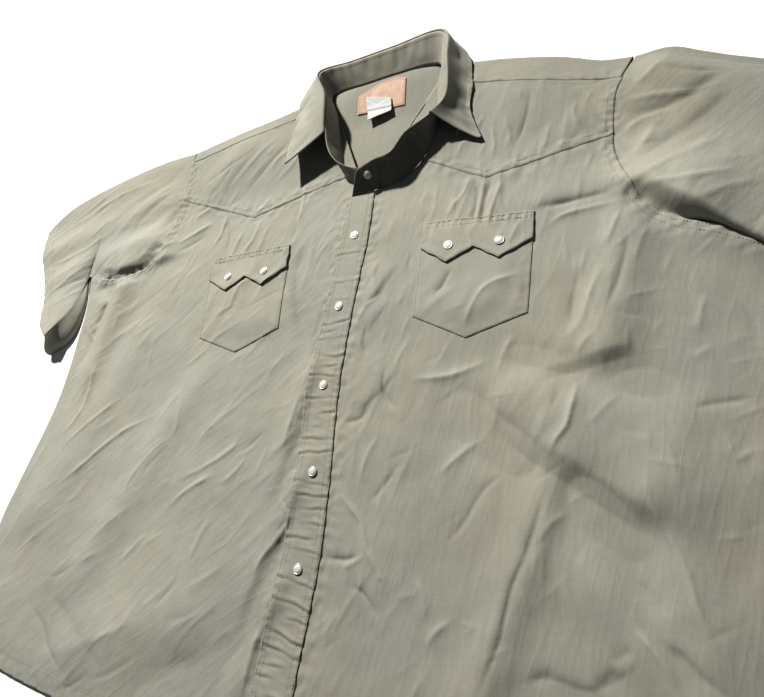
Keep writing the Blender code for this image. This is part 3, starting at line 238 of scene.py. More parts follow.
# ---------------------------------------------------------------- creases of the top layer
CREASES = [
    # rise, width on its left, width on its right, line; all in millimetres
    # right front
    (1.8, 8, 5, (-366, -144), (-366, -176), (-368, -210), (-381, -234), (-404, -258)),
    (1.1, 5, 5, (-294, -193), (-326, -219), (-361, -246), (-395, -277)),
    (1.3, 4, 6, (-232, -218), (-285, -244), (-318, -270), (-350, -300), (-384, -328)),
    (-0.9, 5, 4, (-191, -229), (-206, -259), (-227, -286), (-235, -309)),
    (1.1, 4, 6, (-124, -285), (-160, -306), (-188, -332)),
    (1.0, 4, 5, (-85, -261), (-103, -286), (-123, -300)),
    (0.9, 4, 4, (-63, -252), (-68, -271), (-72, -286)),
    (1.6, 4, 6, (-30, -192), (-36, -216), (-42, -259)),
    (1.7, 4, 7, (-22, -283), (-30, -308), (-19, -323), (-29, -345), (-44, -368), (-47, -393)),
    (1.6, 4, 7, (-27, -415), (-33, -437), (-37, -462), (-40, -490)),
    (-0.8, 5, 5, (-140, -387), (-150, -408), (-167, -429)),
    (-1.4, 28, 30, (-353, -430), (-300, -452), (-250, -478), (-205, -505)),
    (-1.0, 26, 24, (-177, -492), (-125, -473), (-74, -450)),
    (1.1, 26, 26, (-330, -508), (-275, -486), (-215, -458), (-165, -432)),
    (0.8, 5, 5, (-195, -244), (-220, -262), (-252, -305), (-245, -343)),
    (1.0, 4, 6, (-98, -229), (-111, -257), (-146, -281), (-184, -300)),
    (0.8, 5, 5, (-202, -355), (-218, -372), (-236, -395)),
    (0.8, 5, 5, (-119, -326), (-130, -357), (-135, -382)),
    (-1.0, 9, 9, (-366, -450), (-326, -474), (-309, -491), (-264, -516)),
    (0.9, 7, 7, (-422, -252), (-439, -299), (-451, -332)),
    (0.8, 6, 5, (-208, -183), (-200, -217), (-201, -250), (-231, -286)),
    (1.0, 5, 6, (-93, -49), (-63, -91), (-42, -123)),
    (0.9, 7, 8, (-56, 16), (-54, -29), (-62, -78)),
    # beside the placket, on the left
    (-1.8, 6, 6, (63, -158), (65, -189), (83, -212)),
    (-1.6, 7, 6, (49, -201), (44, -218), (22, -225)),
    (1.2, 5, 5, (66, -235), (55, -260), (54, -286)),
    (1.6, 6, 4, (25, -288), (43, -304), (59, -319), (67, -340), (84, -362), (96, -386)),
    (-1.8, 5, 5, (25, -355), (51, -353), (64, -346)),
    (1.2, 5, 5, (47, -362), (68, -347)),
    (-1.6, 6, 5, (54, -372), (74, -382), (89, -400)),
    (1.0, 6, 6, (49, -395), (42, -409), (35, -423)),
    (-0.9, 5, 5, (93, -258), (78, -284), (62, -304)),
    (-1.7, 6, 6, (53, -57), (45, -80), (28, -91)),
    (-1.6, 6, 6, (37, -109), (35, -138), (44, -155)),
    (1.2, 6, 6, (38, -30), (36, -61), (46, -86)),
    # left front
    (1.8, 8, 9, (89, -178), (134, -174), (176, -157)),
    (1.2, 8, 7, (196, -130), (185, -152), (180, -177)),
    (1.2, 6, 7, (267, -134), (255, -147), (251, -159)),
    (2.0, 4, 6, (253, -179), (247, -206), (243, -223), (235, -234), (228, -253)),
    (1.2, 6, 7, (174, -232), (152, -249), (127, -275)),
    (-1.0, 5, 5, (193, -262), (173, -282), (157, -312), (139, -332)),
    (-1.9, 9, 4, (228, -262), (224, -286), (217, -313), (212, -331), (203, -353), (198, -377),
     (194, -398), (184, -425), (176, -450)),
    (1.0, 6, 6, (247, -291), (232, -302), (221, -321)),
    (1.5, 7, 4, (302, -253), (303, -268), (306, -284), (321, -312), (328, -330), (333, -352),
     (346, -378)),
    (1.9, 4, 5, (289, -368), (301, -379), (311, -391), (319, -405)),
    (-1.7, 6, 7, (312, -375), (328, -388), (343, -401)),
    (-1.2, 10, 9, (275, -396), (291, -382)),
    (-1.2, 11, 10, (265, -415), (281, -398)),
    (-1.1, 11, 10, (217, -419), (238, -408)),
    (-1.2, 5, 7, (335, -204), (359, -198), (382, -194)),
    (1.0, 5, 5, (363, -245), (378, -233)),
    (0.8, 6, 6, (286, -190), (270, -208), (259, -223)),
    (0.9, 6, 6, (134, -416), (139, -401), (153, -386)),
    (1.0, 7, 7, (119, -357), (128, -375), (132, -393)),
    (-1.0, 7, 7, (293, -336), (305, -346), (314, -359)),
    # left yoke and chest
    (-1.4, 7, 6, (201, 169), (198, 127), (185, 82)),
    (1.0, 5, 6, (223, 111), (219, 86), (215, 70)),
    (1.2, 6, 5, (159, 125), (163, 99), (162, 76)),
    (-1.7, 4, 5, (140, 66), (148, 39), (147, 10), (145, -14)),
    (1.9, 4, 6, (155, 64), (154, 36), (151, 10), (149, -16)),
    (-1.6, 4, 5, (164, 55), (158, 30), (156, 10), (154, -12)),
    (2.0, 4, 6, (176, 52), (168, 24), (164, 8), (162, -18)),
    (1.2, 5, 5, (127, 34), (115, 8)),
    (-1.8, 5, 7, (287, 12), (252, 9), (213, 3)),
    (1.6, 6, 6, (291, -2), (264, -3), (236, -8), (220, -21)),
    (1.5, 6, 7, (291, -9), (283, -30), (275, -52)),
    (-1.6, 8, 7, (296, -32), (293, -59), (285, -91), (274, -120)),
    (-1.5, 9, 8, (254, -66), (248, -99), (245, -136)),
    (1.6, 8, 8, (275, -64), (263, -94), (252, -134)),
    (1.2, 7, 7, (252, 139), (247, 116), (256, 89)),
    (1.0, 5, 5, (122, 24), (133, 39), (139, 58)),
    (1.0, 6, 5, (176, 85), (180, 101), (174, 130)),
    (1.0, 6, 6, (313, -30), (306, -48), (300, -70)),
    (1.0, 7, 7, (354, -101), (349, -121), (346, -140)),
    # left sleeve
    (1.4, 6, 6, (302, 138), (318, 142), (331, 158)),
    (1.9, 5, 5, (289, 122), (323, 116), (355, 109), (385, 112)),
    (1.7, 4, 9, (293, 72), (305, 89), (325, 95), (340, 94)),
    (-1.4, 6, 6, (318, 84), (335, 72), (338, 56)),
    (1.3, 8, 6, (292, 12), (327, 26), (387, 62)),
    (1.5, 5, 5, (291, 14), (319, 5), (344, 4), (390, 14)),
    (1.2, 5, 6, (347, -20), (381, -3), (405, 0)),
    (-1.5, 7, 7, (322, 152), (362, 132), (402, 128)),
    (1.4, 6, 8, (345, 165), (392, 140), (440, 118)),
    (-3.0, 14, 17, (291, 107), (311, 102), (333, 101), (358, 108), (377, 121), (393, 132)),
    (1.8, 6, 8, (301, 46), (313, 62), (322, 83)),
    # right yoke and chest
    (-1.5, 8, 8, (-115, 183), (-158, 130), (-188, 80)),
    (-1.2, 7, 7, (-185, 164), (-240, 132), (-270, 116)),
    (1.2, 7, 8, (-140, 195), (-178, 150), (-215, 100)),
    (1.0, 7, 7, (-95, 170), (-110, 130), (-140, 95)),
    (-1.4, 5, 5, (-206, 67), (-191, 25), (-192, -8)),
    (1.2, 5, 5, (-268, 59), (-245, 73), (-225, 80)),
    (1.8, 5, 6, (-224, 53), (-262, 34), (-286, 22)),
    (-1.2, 6, 6, (-231, 34), (-262, 18), (-284, 6)),
    (2.6, 9, 4, (-84, 96), (-84, 85), (-81, 63), (-82, 45), (-81, 21)),
    (-2.0, 18, 16, (-66, 8), (-70, -50), (-55, -105), (-35, -155)),
    (1.9, 4, 8, (-205, 66), (-206, 35), (-215, 10)),
    (1.5, 4, 7, (-167, 34), (-178, -2), (-181, -24)),
    (1.1, 4, 6, (-127, 36), (-135, 6), (-138, -16)),
    (1.4, 6, 5, (-103, 160), (-135, 145), (-149, 120)),
    (0.8, 9, 8, (-331, -21), (-331, -63), (-354, -87), (-352, -134)),
    (0.9, 6, 7, (-431, -89), (-402, -113), (-371, -127)),
    (1.2, 5, 5, (-140, 53), (-148, 19), (-159, -4), (-161, -24)),
    (-1.0, 7, 7, (-212, 155), (-227, 115), (-250, 91)),
    (1.0, 6, 6, (-130, 84), (-143, 66), (-159, 49)),
    (-1.0, 8, 8, (-87, 63), (-85, 26), (-88, -4)),
    # right sleeve
    (1.8, 7, 8, (-299, 147), (-362, 111), (-402, 70), (-443, 29)),
    (-1.5, 7, 8, (-312, 121), (-363, 83), (-390, 40)),
    (1.2, 6, 8, (-431, 174), (-488, 133), (-546, 91)),
    (1.6, 7, 6, (-278, 36), (-313, 14), (-345, 6)),
    (1.3, 7, 7, (-457, 17), (-498, -25), (-522, -36)),
    (-1.3, 8, 8, (-330, 150), (-400, 105), (-455, 50)),
    (1.3, 9, 9, (-352, 154), (-437, 138), (-503, 102), (-560, 82)),
    (-1.2, 7, 7, (-368, 31), (-426, 2), (-484, -24), (-528, -52)),
    (1.1, 7, 7, (-467, 43), (-513, 26), (-558, 16)),
    # pockets
    (1.4, 6, 8, (141, -131), (160, -86), (187, -72), (206, -69)),
    (-1.2, 6, 6, (108, -88), (118, -77), (127, -55)),
    (-1.0, 5, 5, (79, -29), (76, -50), (84, -71)),
    (1.0, 6, 6, (-162, -91), (-152, -54), (-131, -45)),
]
# Terraces: rise, width of the slope, how far it is felt, line of the foot with the raised side
# on its left
STEPS = [
    (3.2, 6.0, 18, (38, -216), (52, -201), (66, -187), (80, -166)),
    (3.4, 7.0, 20, (204, -426), (232, -414), (262, -416), (286, -400), (302, -384)),
    (3.2, 6.0, 16, (290, -350), (308, -375), (332, -394), (358, -406)),
    (8.5, 12.0, 22, (-403, -112), (-400, -90), (-395, -66), (-387, -44)),
    (3.4, 8.0, 26, (196, -4), (222, 7), (254, 8), (292, 6)),
    (3.0, 6.0, 18, (26, -102), (45, -86), (56, -60), (66, -38)),
    (2.8, 6.0, 16, (40, -154), (40, -126), (50, -104), (62, -88)),
    (6.5, 13.0, 40, (296, 38), (312, 44), (331, 58), (351, 72), (373, 88), (400, 108)),
    (3.0, 9.0, 30, (-300, 96), (-345, 62), (-385, 40), (-430, 22)),
    (2.4, 9.0, 30, (-185, 62), (-214, 100), (-196, 140), (-168, 175)),
]
# Banks on the left front: an even slope as wide as given, then a slow fall behind its top, mm
BANKS = [
    (5.6, 22, 44, (150, -208), (168, -219), (185, -229), (203, -245), (222, -258), (243, -269),
     (262, -281), (282, -293), (310, -309)),
    (2.6, 13, 26, (208, -184), (238, -175), (262, -168), (286, -161), (302, -156)),
]
# Short creases: where (x and y from, to), which way they run and how much that varies, how many,
# how long, how wide, how high
SHORT = [
    (-0.46, -0.03, -0.54, -0.06, 40, 9, 90, 0.085, 0.0040, 0.0006, 11),
    (-0.46, -0.03, -0.54, -0.06, 44, 16, 90, 0.040, 0.0028, 0.00032, 12),
    (-0.28, -0.03, -0.06, 0.19, 62, 14, 58, 0.055, 0.0034, 0.00065, 13),
    (-0.45, -0.26, -0.20, 0.00, 62, 16, 24, 0.060, 0.0040, 0.0006, 14),
    (0.03, 0.24, -0.54, -0.14, 76, 14, 70, 0.060, 0.0038, 0.0006, 15),
    (0.20, 0.45, -0.50, -0.12, 100, 20, 60, 0.060, 0.0042, 0.0006, 16),
    (0.03, 0.44, -0.54, -0.10, 30, 18, 58, 0.036, 0.0026, 0.00043, 17),
    (0.09, 0.28, -0.03, 0.17, 84, 13, 58, 0.050, 0.0032, 0.00072, 18),
    (0.02, 0.09, -0.14, 0.06, 70, 16, 20, 0.040, 0.0030, 0.00065, 19),
    (-0.58, -0.30, -0.10, 0.17, 36, 12, 102, 0.075, 0.0036, 0.00072, 20),
    (-0.56, -0.30, -0.08, 0.17, 20, 16, 51, 0.040, 0.0026, 0.00043, 21),
    (0.29, 0.56, -0.16, 0.17, 38, 16, 44, 0.060, 0.0036, 0.00065, 22),
    (0.29, 0.56, -0.16, 0.17, 150, 16, 37, 0.050, 0.0036, 0.00058, 23),
    (0.20, 0.45, -0.16, 0.04, 70, 16, 41, 0.050, 0.0034, 0.00065, 24),
]


# ---------------------------------------------------------------- lines and fields
def catmull(p, t):
    return 0.5 * (2 * p[1] + (p[2] - p[0]) * t
                  + (2 * p[0] - 5 * p[1] + 4 * p[2] - p[3]) * t ** 2
                  + (3 * p[1] - p[0] - 3 * p[2] + p[3]) * t ** 3)


def padded_ends(points):
    p = np.array(points, float)
    return np.vstack([2 * p[0] - p[1], p, 2 * p[-1] - p[-2]])


def spline(points, step):
    """Points about `step` apart on a Catmull-Rom line through `points`."""
    p = padded_ends(points)
    runs = []
    for i in range(1, len(p) - 2):
        count = max(1, round(float(np.linalg.norm(p[i + 1] - p[i])) / step))
        runs.append(catmull(p[i - 1:i + 3], np.arange(count)[:, None] / count))
    return np.vstack(runs + [p[-2:-1]])


def straight(points, step):
    p = np.array(points, float)
    runs = []
    for a, b in zip(p[:-1], p[1:]):
        count = max(1, round(float(np.linalg.norm(b - a)) / step))
        runs.append(a + (b - a) * np.arange(count)[:, None] / count)
    return np.vstack(runs + [p[-1:]])


def chain(*lines):
    """One closed outline, counter-clockwise, from lines that follow one another."""
    points = np.vstack(lines)
    gaps = np.linalg.norm(points - np.roll(points, 1, 0), axis=1)
    points = points[gaps > 2e-4]
    x, y = points.T
    if np.sum(x * np.roll(y, -1) - np.roll(x, -1) * y) < 0:
        points = points[::-1]
    return points


def inset(outline, distance):
    """A counter-clockwise outline moved in by `distance`."""
    before = unit(outline - np.roll(outline, 1, 0))
    after = unit(np.roll(outline, -1, 0) - outline)
    both = before + after
    inward = np.stack([-both[:, 1], both[:, 0]], 1)
    inward /= np.maximum(np.linalg.norm(inward, axis=1), 1e-9)[:, None]
    spread = np.maximum(0.35, inward[:, 1] * before[:, 0] - inward[:, 0] * before[:, 1])
    return outline + inward * np.reshape(distance, (-1, 1)) / spread[:, None]


def unit(vectors):
    return vectors / np.linalg.norm(vectors, axis=-1, keepdims=True)


def facing_of(grid):
    """The way each point of grid[row, column] faces."""
    return unit(np.cross(np.gradient(grid, axis=1), np.gradient(grid, axis=0)))


def lengths_along(line):
    return np.concatenate([[0.0], np.cumsum(np.linalg.norm(np.diff(line, axis=0), axis=1))])


def at(line, t):
    """The points at fractions t of the way along a line."""
    run = lengths_along(line)
    t = np.clip(np.atleast_1d(t), 0, 1) * run[-1]
    return np.stack([np.interp(t, run, line[:, k]) for k in range(line.shape[1])], 1)


def nearest(line, xy, reach=1.0):
    """For each point: its distance from a line, how far along that is, and its side."""
    best = np.full(len(xy), 1e3)
    along = np.zeros(len(xy))
    side = np.zeros(len(xy))
    run = 0.0
    for a, b in zip(line[:-1], line[1:]):
        d = b - a
        length = math.hypot(*d)
        if length < 1e-9:
            continue
        low = np.minimum(a, b) - reach
        high = np.maximum(a, b) + reach
        pick = np.nonzero((xy[:, 0] > low[0]) & (xy[:, 0] < high[0])
                          & (xy[:, 1] > low[1]) & (xy[:, 1] < high[1]))[0]
        if len(pick):
            p = xy[pick] - a
            t = np.clip(p @ d / length ** 2, 0, 1)
            off = p - t[:, None] * d
            far = np.hypot(off[:, 0], off[:, 1])
            closer = far < best[pick]
            chosen = pick[closer]
            best[chosen] = far[closer]
            along[chosen] = run + t[closer] * length
            side[chosen] = np.sign(d[0] * p[closer, 1] - d[1] * p[closer, 0])
        run += length
    return best, along, side


def smoothstep(x, low, high):
    t = np.clip((x - low) / (high - low), 0, 1)
    return t * t * (3 - 2 * t)


def fading(t, first, last):
    """1 along a line, and down to 0 over the given shares at its start and end."""
    return smoothstep(t, 0.0, first) * smoothstep(1 - t, 0.0, last)


def bell(x, width):
    return np.exp(-(x / width) ** 2)


def looped(points):
    return np.vstack([points, points[:1]])


def inside(outline, xy):
    hit = np.zeros(len(xy), bool)
    x, y = xy.T
    for a, b in zip(outline, np.roll(outline, -1, 0)):
        crosses = (a[1] > y) != (b[1] > y)
        if a[1] != b[1]:
            hit ^= crosses & (x < a[0] + (b[0] - a[0]) * (y - a[1]) / (b[1] - a[1]))
    return hit


def noise(x, y, seed):
    """Smooth noise of about -0.7 to 0.7 with features one unit across."""
    table = np.random.RandomState(seed).rand(4096) * 2 * math.pi
    xi = np.floor(x).astype(np.int64)
    yi = np.floor(y).astype(np.int64)
    fx = x - xi
    fy = y - yi

    def corner(dx, dy):
        angle = table[((xi + dx) * 7919 + (yi + dy) * 104729) & 4095]
        return np.cos(angle) * (fx - dx) + np.sin(angle) * (fy - dy)

    u = fx ** 3 * (fx * (fx * 6 - 15) + 10)
    v = fy ** 3 * (fy * (fy * 6 - 15) + 10)
    low = corner(0, 0) * (1 - u) + corner(1, 0) * u
    high = corner(0, 1) * (1 - u) + corner(1, 1) * u
    return low * (1 - v) + high * v


def wrinkles(xy, degrees, length, spacing, seed, width=0.17):
    """Thin meandering ridges that run one way and come and go, from 0 to 1."""
    c = math.cos(math.radians(degrees))
    s = math.sin(math.radians(degrees))
    along = (xy[:, 0] * c + xy[:, 1] * s) / length
    across = (xy[:, 1] * c - xy[:, 0] * s) / spacing
    across = across + 1.1 * noise(along * 0.8, across * 0.22, seed + 100)
    ridge = bell(noise(along, across * 0.5, seed), width)
    there = np.clip(0.35 + 1.6 * noise(along * 0.9 + 3.1, across * 0.21, seed + 200), 0, 1)
    return ridge * there


SILHOUETTE = [spline(line, 0.022) for side in SIDES
              for line in (SHOULDER_FOLD[side], SLEEVES[side]["top"], SIDE[side], HEM[side])]
UNDERARM = [spline(ARMHOLE[side][4:], 0.006) for side in SIDES]


def fold_height(xy):
    total = np.zeros(len(xy))
    for x0, y0, x1, y1, rise, left, right in FOLDS:
        length = math.hypot(x1 - x0, y1 - y0)
        u = np.array([x1 - x0, y1 - y0]) / length
        p = xy - (x0, y0)
        along = p @ u
        across = p[:, 1] * u[0] - p[:, 0] * u[1]
        width = np.where(across > 0, left, right)
        past = np.maximum(0, np.maximum(-along, along - length))
        total += rise * np.exp(-(across / width) ** 2 - (past / TAPER) ** 2)
    seam = np.minimum(*(nearest(line, xy, 0.03)[0] for line in UNDERARM))
    total = total * (0.4 + 0.6 * smoothstep(seam, 0.0, 0.018))
    far, along, side = nearest(UNDERARM[1], xy, 0.05)
    swell = np.where(side > 0, 0.004, 0.022)
    ends = smoothstep(along, 0.020, 0.070) * (1 - smoothstep(along, 0.150, 0.178))
    total *= 1 - 0.2 * bell(np.hypot(xy[:, 0] - 0.315, xy[:, 1] - 0.002), 0.040)
    return total + 0.0070 * ends * bell(far, swell)


def neck_lift(xy):
    rise = smoothstep(xy[:, 1], NECK_RISE_FROM, NECK_RISE_TO)
    away = smoothstep(np.abs(xy[:, 0] - NECK_MIDDLE), NECK_RISE_FULL, NECK_RISE_END)
    return NECK_RISE * rise * (1 - away)


def edge_distance(xy):
    return np.min([nearest(line, xy)[0] for line in SILHOUETTE], axis=0)


def top_height(xy):
    """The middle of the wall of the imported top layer."""
    d = edge_distance(xy)
    edge = SEAM_Z + (FOLD_Z - SEAM_Z) * smoothstep(xy[:, 1], -0.14, -0.09)
    lift = PUFF * (1 - np.exp(-d / PUFF_REACH))
    folds = fold_height(xy) * (1 - bell(d, FOLD_FADE))
    return edge + lift + np.maximum(folds, -0.45 * lift) + neck_lift(xy)


def ridges(xy, lines):
    """Creases: each a ridge or trough that rises and dies away along its line."""
    total = np.zeros(len(xy))
    order = np.argsort(xy[:, 0], kind="stable")
    xs = xy[order, 0]
    for line, rise, left, right, ends, seed in lines:
        reach = 2.8 * max(left, right)
        low = line.min(0) - reach
        high = line.max(0) + reach
        first, last = np.searchsorted(xs, (low[0], high[0]))
        pick = order[first:last]
        y = xy[pick, 1]
        pick = pick[(y > low[1]) & (y < high[1])]
        if not len(pick):
            continue
        far, along, side = nearest(line, xy[pick], reach)
        near = far < reach
        pick, far, along, side = pick[near], far[near], along[near], side[near]
        if not len(pick):
            continue
        t = along / lengths_along(line)[-1]
        uneven = 1 + 0.5 * noise(along / 0.02, 0.5, seed)
        fade = fading(t, ends, ends)
        q = far / np.where(side > 0, left, right)
        total[pick] += rise * uneven * fade * np.exp(0.25 - np.sqrt(0.0625 + 3.2 * q * q))
    return total


CREASE_RISE = 1.1 * MM
CREASE_WIDTH = 0.75 * MM
LONG_LINES = [(spline(np.array(points) * MM, 0.006), rise * CREASE_RISE, left * CREASE_WIDTH,
               right * CREASE_WIDTH, 0.34, 300 + i)
              for i, (rise, left, right, *points) in enumerate(CREASES)]


def short_lines():
    lines = []
    for x0, x1, y0, y1, degrees, varying, count, length, width, rise, seed in SHORT:
        draw = np.random.RandomState(seed)
        for _ in range(count):
            middle = np.array([draw.uniform(x0, x1), draw.uniform(y0, y1)])
            angle = math.radians(degrees + varying * draw.randn())
            ahead = np.array([math.cos(angle), math.sin(angle)])
            aside = np.array([-ahead[1], ahead[0]])
            half = length * draw.uniform(0.22, 0.75)
            bend = 0.10 * half * draw.randn()
            points = [middle - half * ahead, middle - 0.35 * half * ahead + bend * aside,
                      middle + 0.3 * half * ahead + 0.6 * bend * aside, middle + half * ahead]
            left, right = np.maximum(width * draw.uniform(0.6, 1.6, 2), 0.0026)
            height = rise * draw.uniform(0.4, 1.3) * (1.0 if draw.rand() < 0.75 else -0.8)
            lines.append((spline(points, 0.012), height, left, right, 0.5, int(seed * 10)))
    return lines


SHORT_LINES = short_lines()


def crease_height(xy):
    return ridges(xy, LONG_LINES)


def raised_side(points, reach, xy):
    """How far along a line each point is, from 0 to 1, and how far to its left (mm)."""
    line = spline(np.array(points) * MM, 0.006)
    far, along, side = nearest(line, xy, 4 * reach * MM)
    return along / lengths_along(line)[-1], np.maximum(far * side / MM, 0.0)


def step_height(xy):
    """Terraces and banks: the cloth rises from a foot on the line's left and then levels off."""
    total = np.zeros(len(xy))
    for rise, width, reach, *points in STEPS:
        t, across = raised_side(points, reach, xy)
        total += rise * MM * fading(t, 0.3, 0.3) * (1 - np.exp(-across / width)) \
            * np.exp(-across / reach)
    for rise, width, reach, *points in BANKS:
        t, across = raised_side(points, reach, xy)
        up = np.minimum(across / width, 1.0)
        fall = np.exp(-np.maximum(across - 0.8 * width, 0.0) / reach)
        total += rise * MM * fading(t, 0.45, 0.16) * (up - up ** 7 / 7) * 7 / 6 * fall
    return total


def wrinkle_height(xy):
    x, y = xy.T
    total = ridges(xy, SHORT_LINES)
    total += 0.0014 * noise(x / 0.050, y / 0.060, 31)
    total += 0.0005 * noise(x / 0.018, y / 0.024, 32)
    return total


def band_half(y):
    """Half the placket's width; it spreads a little towards the hem."""
    return np.interp(-y, (-0.06, 0.09, 0.188, 0.275, 0.368, 0.470, 0.548),
                     (0.0182, 0.0182, 0.0190, 0.0203, 0.0211, 0.0222, 0.0228))


def placket_edge(side, step, extra=0.0):
    line = spline(PLACKET_LINE, step)
    line[:, 0] += side * (band_half(line[:, 1]) + extra)
    return line


def sideways(line, distance):
    """A line moved to its left."""
    ahead = unit(np.gradient(line, axis=0))
    return line + np.stack([-ahead[:, 1], ahead[:, 0]], 1) * distance


ARMHOLE_LINE = {side: spline(ARMHOLE[side], 0.006) for side in SIDES}
# Stitched lines that pucker the cloth: line, spacing, height, how far in on its left and right.
PUCKERS = [
    (ARMHOLE_LINE["right"], 0.0075, 0.0011, 0.013, 0.010, 41),
    (ARMHOLE_LINE["left"], 0.0075, 0.0011, 0.010, 0.013, 42),
    (straight(YOKE_SEAM["right"], 0.006), 0.0110, 0.0010, 0.020, 0.012, 43),
    (straight(YOKE_SEAM["left"], 0.006), 0.0110, 0.0010, 0.020, 0.012, 44),
    (straight(SHOULDER_SEAM["right"], 0.006), 0.0140, 0.0007, 0.010, 0.014, 45),
    (straight(SHOULDER_SEAM["left"], 0.006), 0.0140, 0.0007, 0.014, 0.010, 46),
    (placket_edge(-1, 0.008), 0.0100, 0.0009, 0.002, 0.010, 47),
    (placket_edge(1, 0.008), 0.0100, 0.0011, 0.014, 0.002, 48),
    (spline(HEM["right"] + HEM["left"][1:], 0.008), 0.0110, 0.0010, 0.016, 0.002, 49),
]


def pucker_height(xy):
    total = np.zeros(len(xy))
    for line, spacing, rise, left, right, seed in PUCKERS:
        reach = 2.2 * max(left, right)
        far, along, side = nearest(line, xy, reach)
        near = far < reach
        width = np.where(side[near] > 0, left, right)
        wave = noise(along[near] / spacing, 1.5 * far[near] / width, seed)
        total[near] += 1.6 * rise * wave * bell(far[near], width)
    return total


def relief(xy):
    """What the creases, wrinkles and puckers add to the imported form."""
    fade = 1 - bell(edge_distance(xy), 0.012)
    fine = crease_height(xy) + step_height(xy) + wrinkle_height(xy)
    return fade * np.maximum(fine, -0.0045) + (0.3 + 0.7 * fade) * pucker_height(xy)


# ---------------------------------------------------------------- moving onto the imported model
label_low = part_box("neck_label")[0]
SHIFT = np.array([label_low.x - LABEL_CORNER[0], label_low.y - LABEL_CORNER[1], 0.0])


def place_in_scene(obj):
    bpy.context.scene.collection.objects.link(obj)


def new_mesh(name, vertices, faces, materials, tone=None, smooth=True):
    """A mesh from numpy vertices in the laid-out frame; tone is a number for each vertex."""
    mesh = bpy.data.meshes.new(name)
    mesh.from_pydata((np.asarray(vertices) + SHIFT).tolist(), [], faces)
    for surface in materials:
        mesh.materials.append(surface)
    if smooth:
        mesh.shade_smooth()
    if tone is not None:
        colour = mesh.color_attributes.new("tone", "FLOAT_COLOR", "POINT")
        value = np.clip(np.asarray(tone), 0, 1)
        rgba = np.stack([value, value, value, np.ones_like(value)], 1)
        colour.data.foreach_set("color", rgba.astype(np.float32).ravel())
    mesh.update()
    obj = bpy.data.objects.new(name, mesh)
    place_in_scene(obj)
    return obj


def triangles(outline, pitch, extra=None, clear=0.6):
    """An outline filled with a staggered lattice of triangles, its outline's points first."""
    low = outline.min(0)
    high = outline.max(0)
    row = pitch * math.sqrt(3) / 2
    ys = np.arange(low[1], high[1], row)
    xs = np.arange(low[0], high[0], pitch)
    gx, gy = np.meshgrid(xs, ys)
    gx = gx + np.where(np.arange(len(ys)) % 2, pitch / 2, 0.0)[:, None]
    grid = np.stack([gx.ravel(), gy.ravel()], 1)
    closed = looped(outline)
    grid = grid[nearest(closed, grid, pitch)[0] > clear * pitch]
    grid = grid[inside(outline, grid)]
    if extra is not None:
        grid = np.vstack([extra, grid])
    count = len(outline)
    ring = [(i, (i + 1) % count) for i in range(count)]
    points = [Vector(p) for p in np.vstack([outline, grid]).tolist()]
    flat, _, faces, _, _, _ = delaunay_2d_cdt(points, ring, [list(range(count))], 1, 1e-7)
    flat = np.array([tuple(p) for p in flat])
    faces = np.array(faces)
    a, b, c = (flat[faces[:, k]] for k in range(3))
    turn = (b - a)[:, 0] * (c - a)[:, 1] - (b - a)[:, 1] * (c - a)[:, 0]
    faces[turn < 0] = faces[turn < 0][:, ::-1]
    return flat, faces


def closed_faces(upper, lower, count, size):
    """Upper faces, lower faces turned over, and a rim between their rings of `count` points.

    The lower side's points start `size` points on.
    """
    rim = [[(k + 1) % count, k, k + size, (k + 1) % count + size] for k in range(count)]
    return upper.tolist() + (lower[:, ::-1] + size).tolist() + rim


def shell(name, outline, height, pitch, surface, under_pitch=0.008, wall=SHIRTING, rim=0.0,
          tone=None):
    """A laid piece: a fine upper side, a coarser lower one that hugs it, and a rim."""
    extra = inset(outline, rim) if rim else None
    flat, faces = triangles(outline, pitch, extra, 0.6 + rim / pitch)
    middle = height(flat)
    upper = middle + wall / 2
    count = len(outline)
    if rim:
        upper[:count] -= wall / 2
    low_flat, low_faces = triangles(outline, under_pitch)
    cell = under_pitch
    corner = flat.min(0) - 2 * cell
    spots = np.floor((flat - corner) / cell).astype(int)
    shape = spots.max(0) + 3
    lowest = np.full(shape, 1e3)
    np.minimum.at(lowest, (spots[:, 0], spots[:, 1]), middle)
    hugging = lowest.copy()
    for dx in (-1, 0, 1):
        for dy in (-1, 0, 1):
            hugging = np.minimum(hugging, np.roll(lowest, (dx, dy), (0, 1)))
    place = np.floor((low_flat - corner) / cell).astype(int)
    lower = hugging[place[:, 0], place[:, 1]] - wall / 2
    lower[:count] = middle[:count] - wall / 2
    vertices = np.vstack([np.column_stack([flat, upper]), np.column_stack([low_flat, lower])])
    solid = closed_faces(faces, low_faces, count, len(flat))
    shade = None
    if tone is not None:
        shade = np.concatenate([tone(flat), np.full(len(low_flat), 0.5)])
    return new_mesh(name, vertices, solid, [surface], shade)


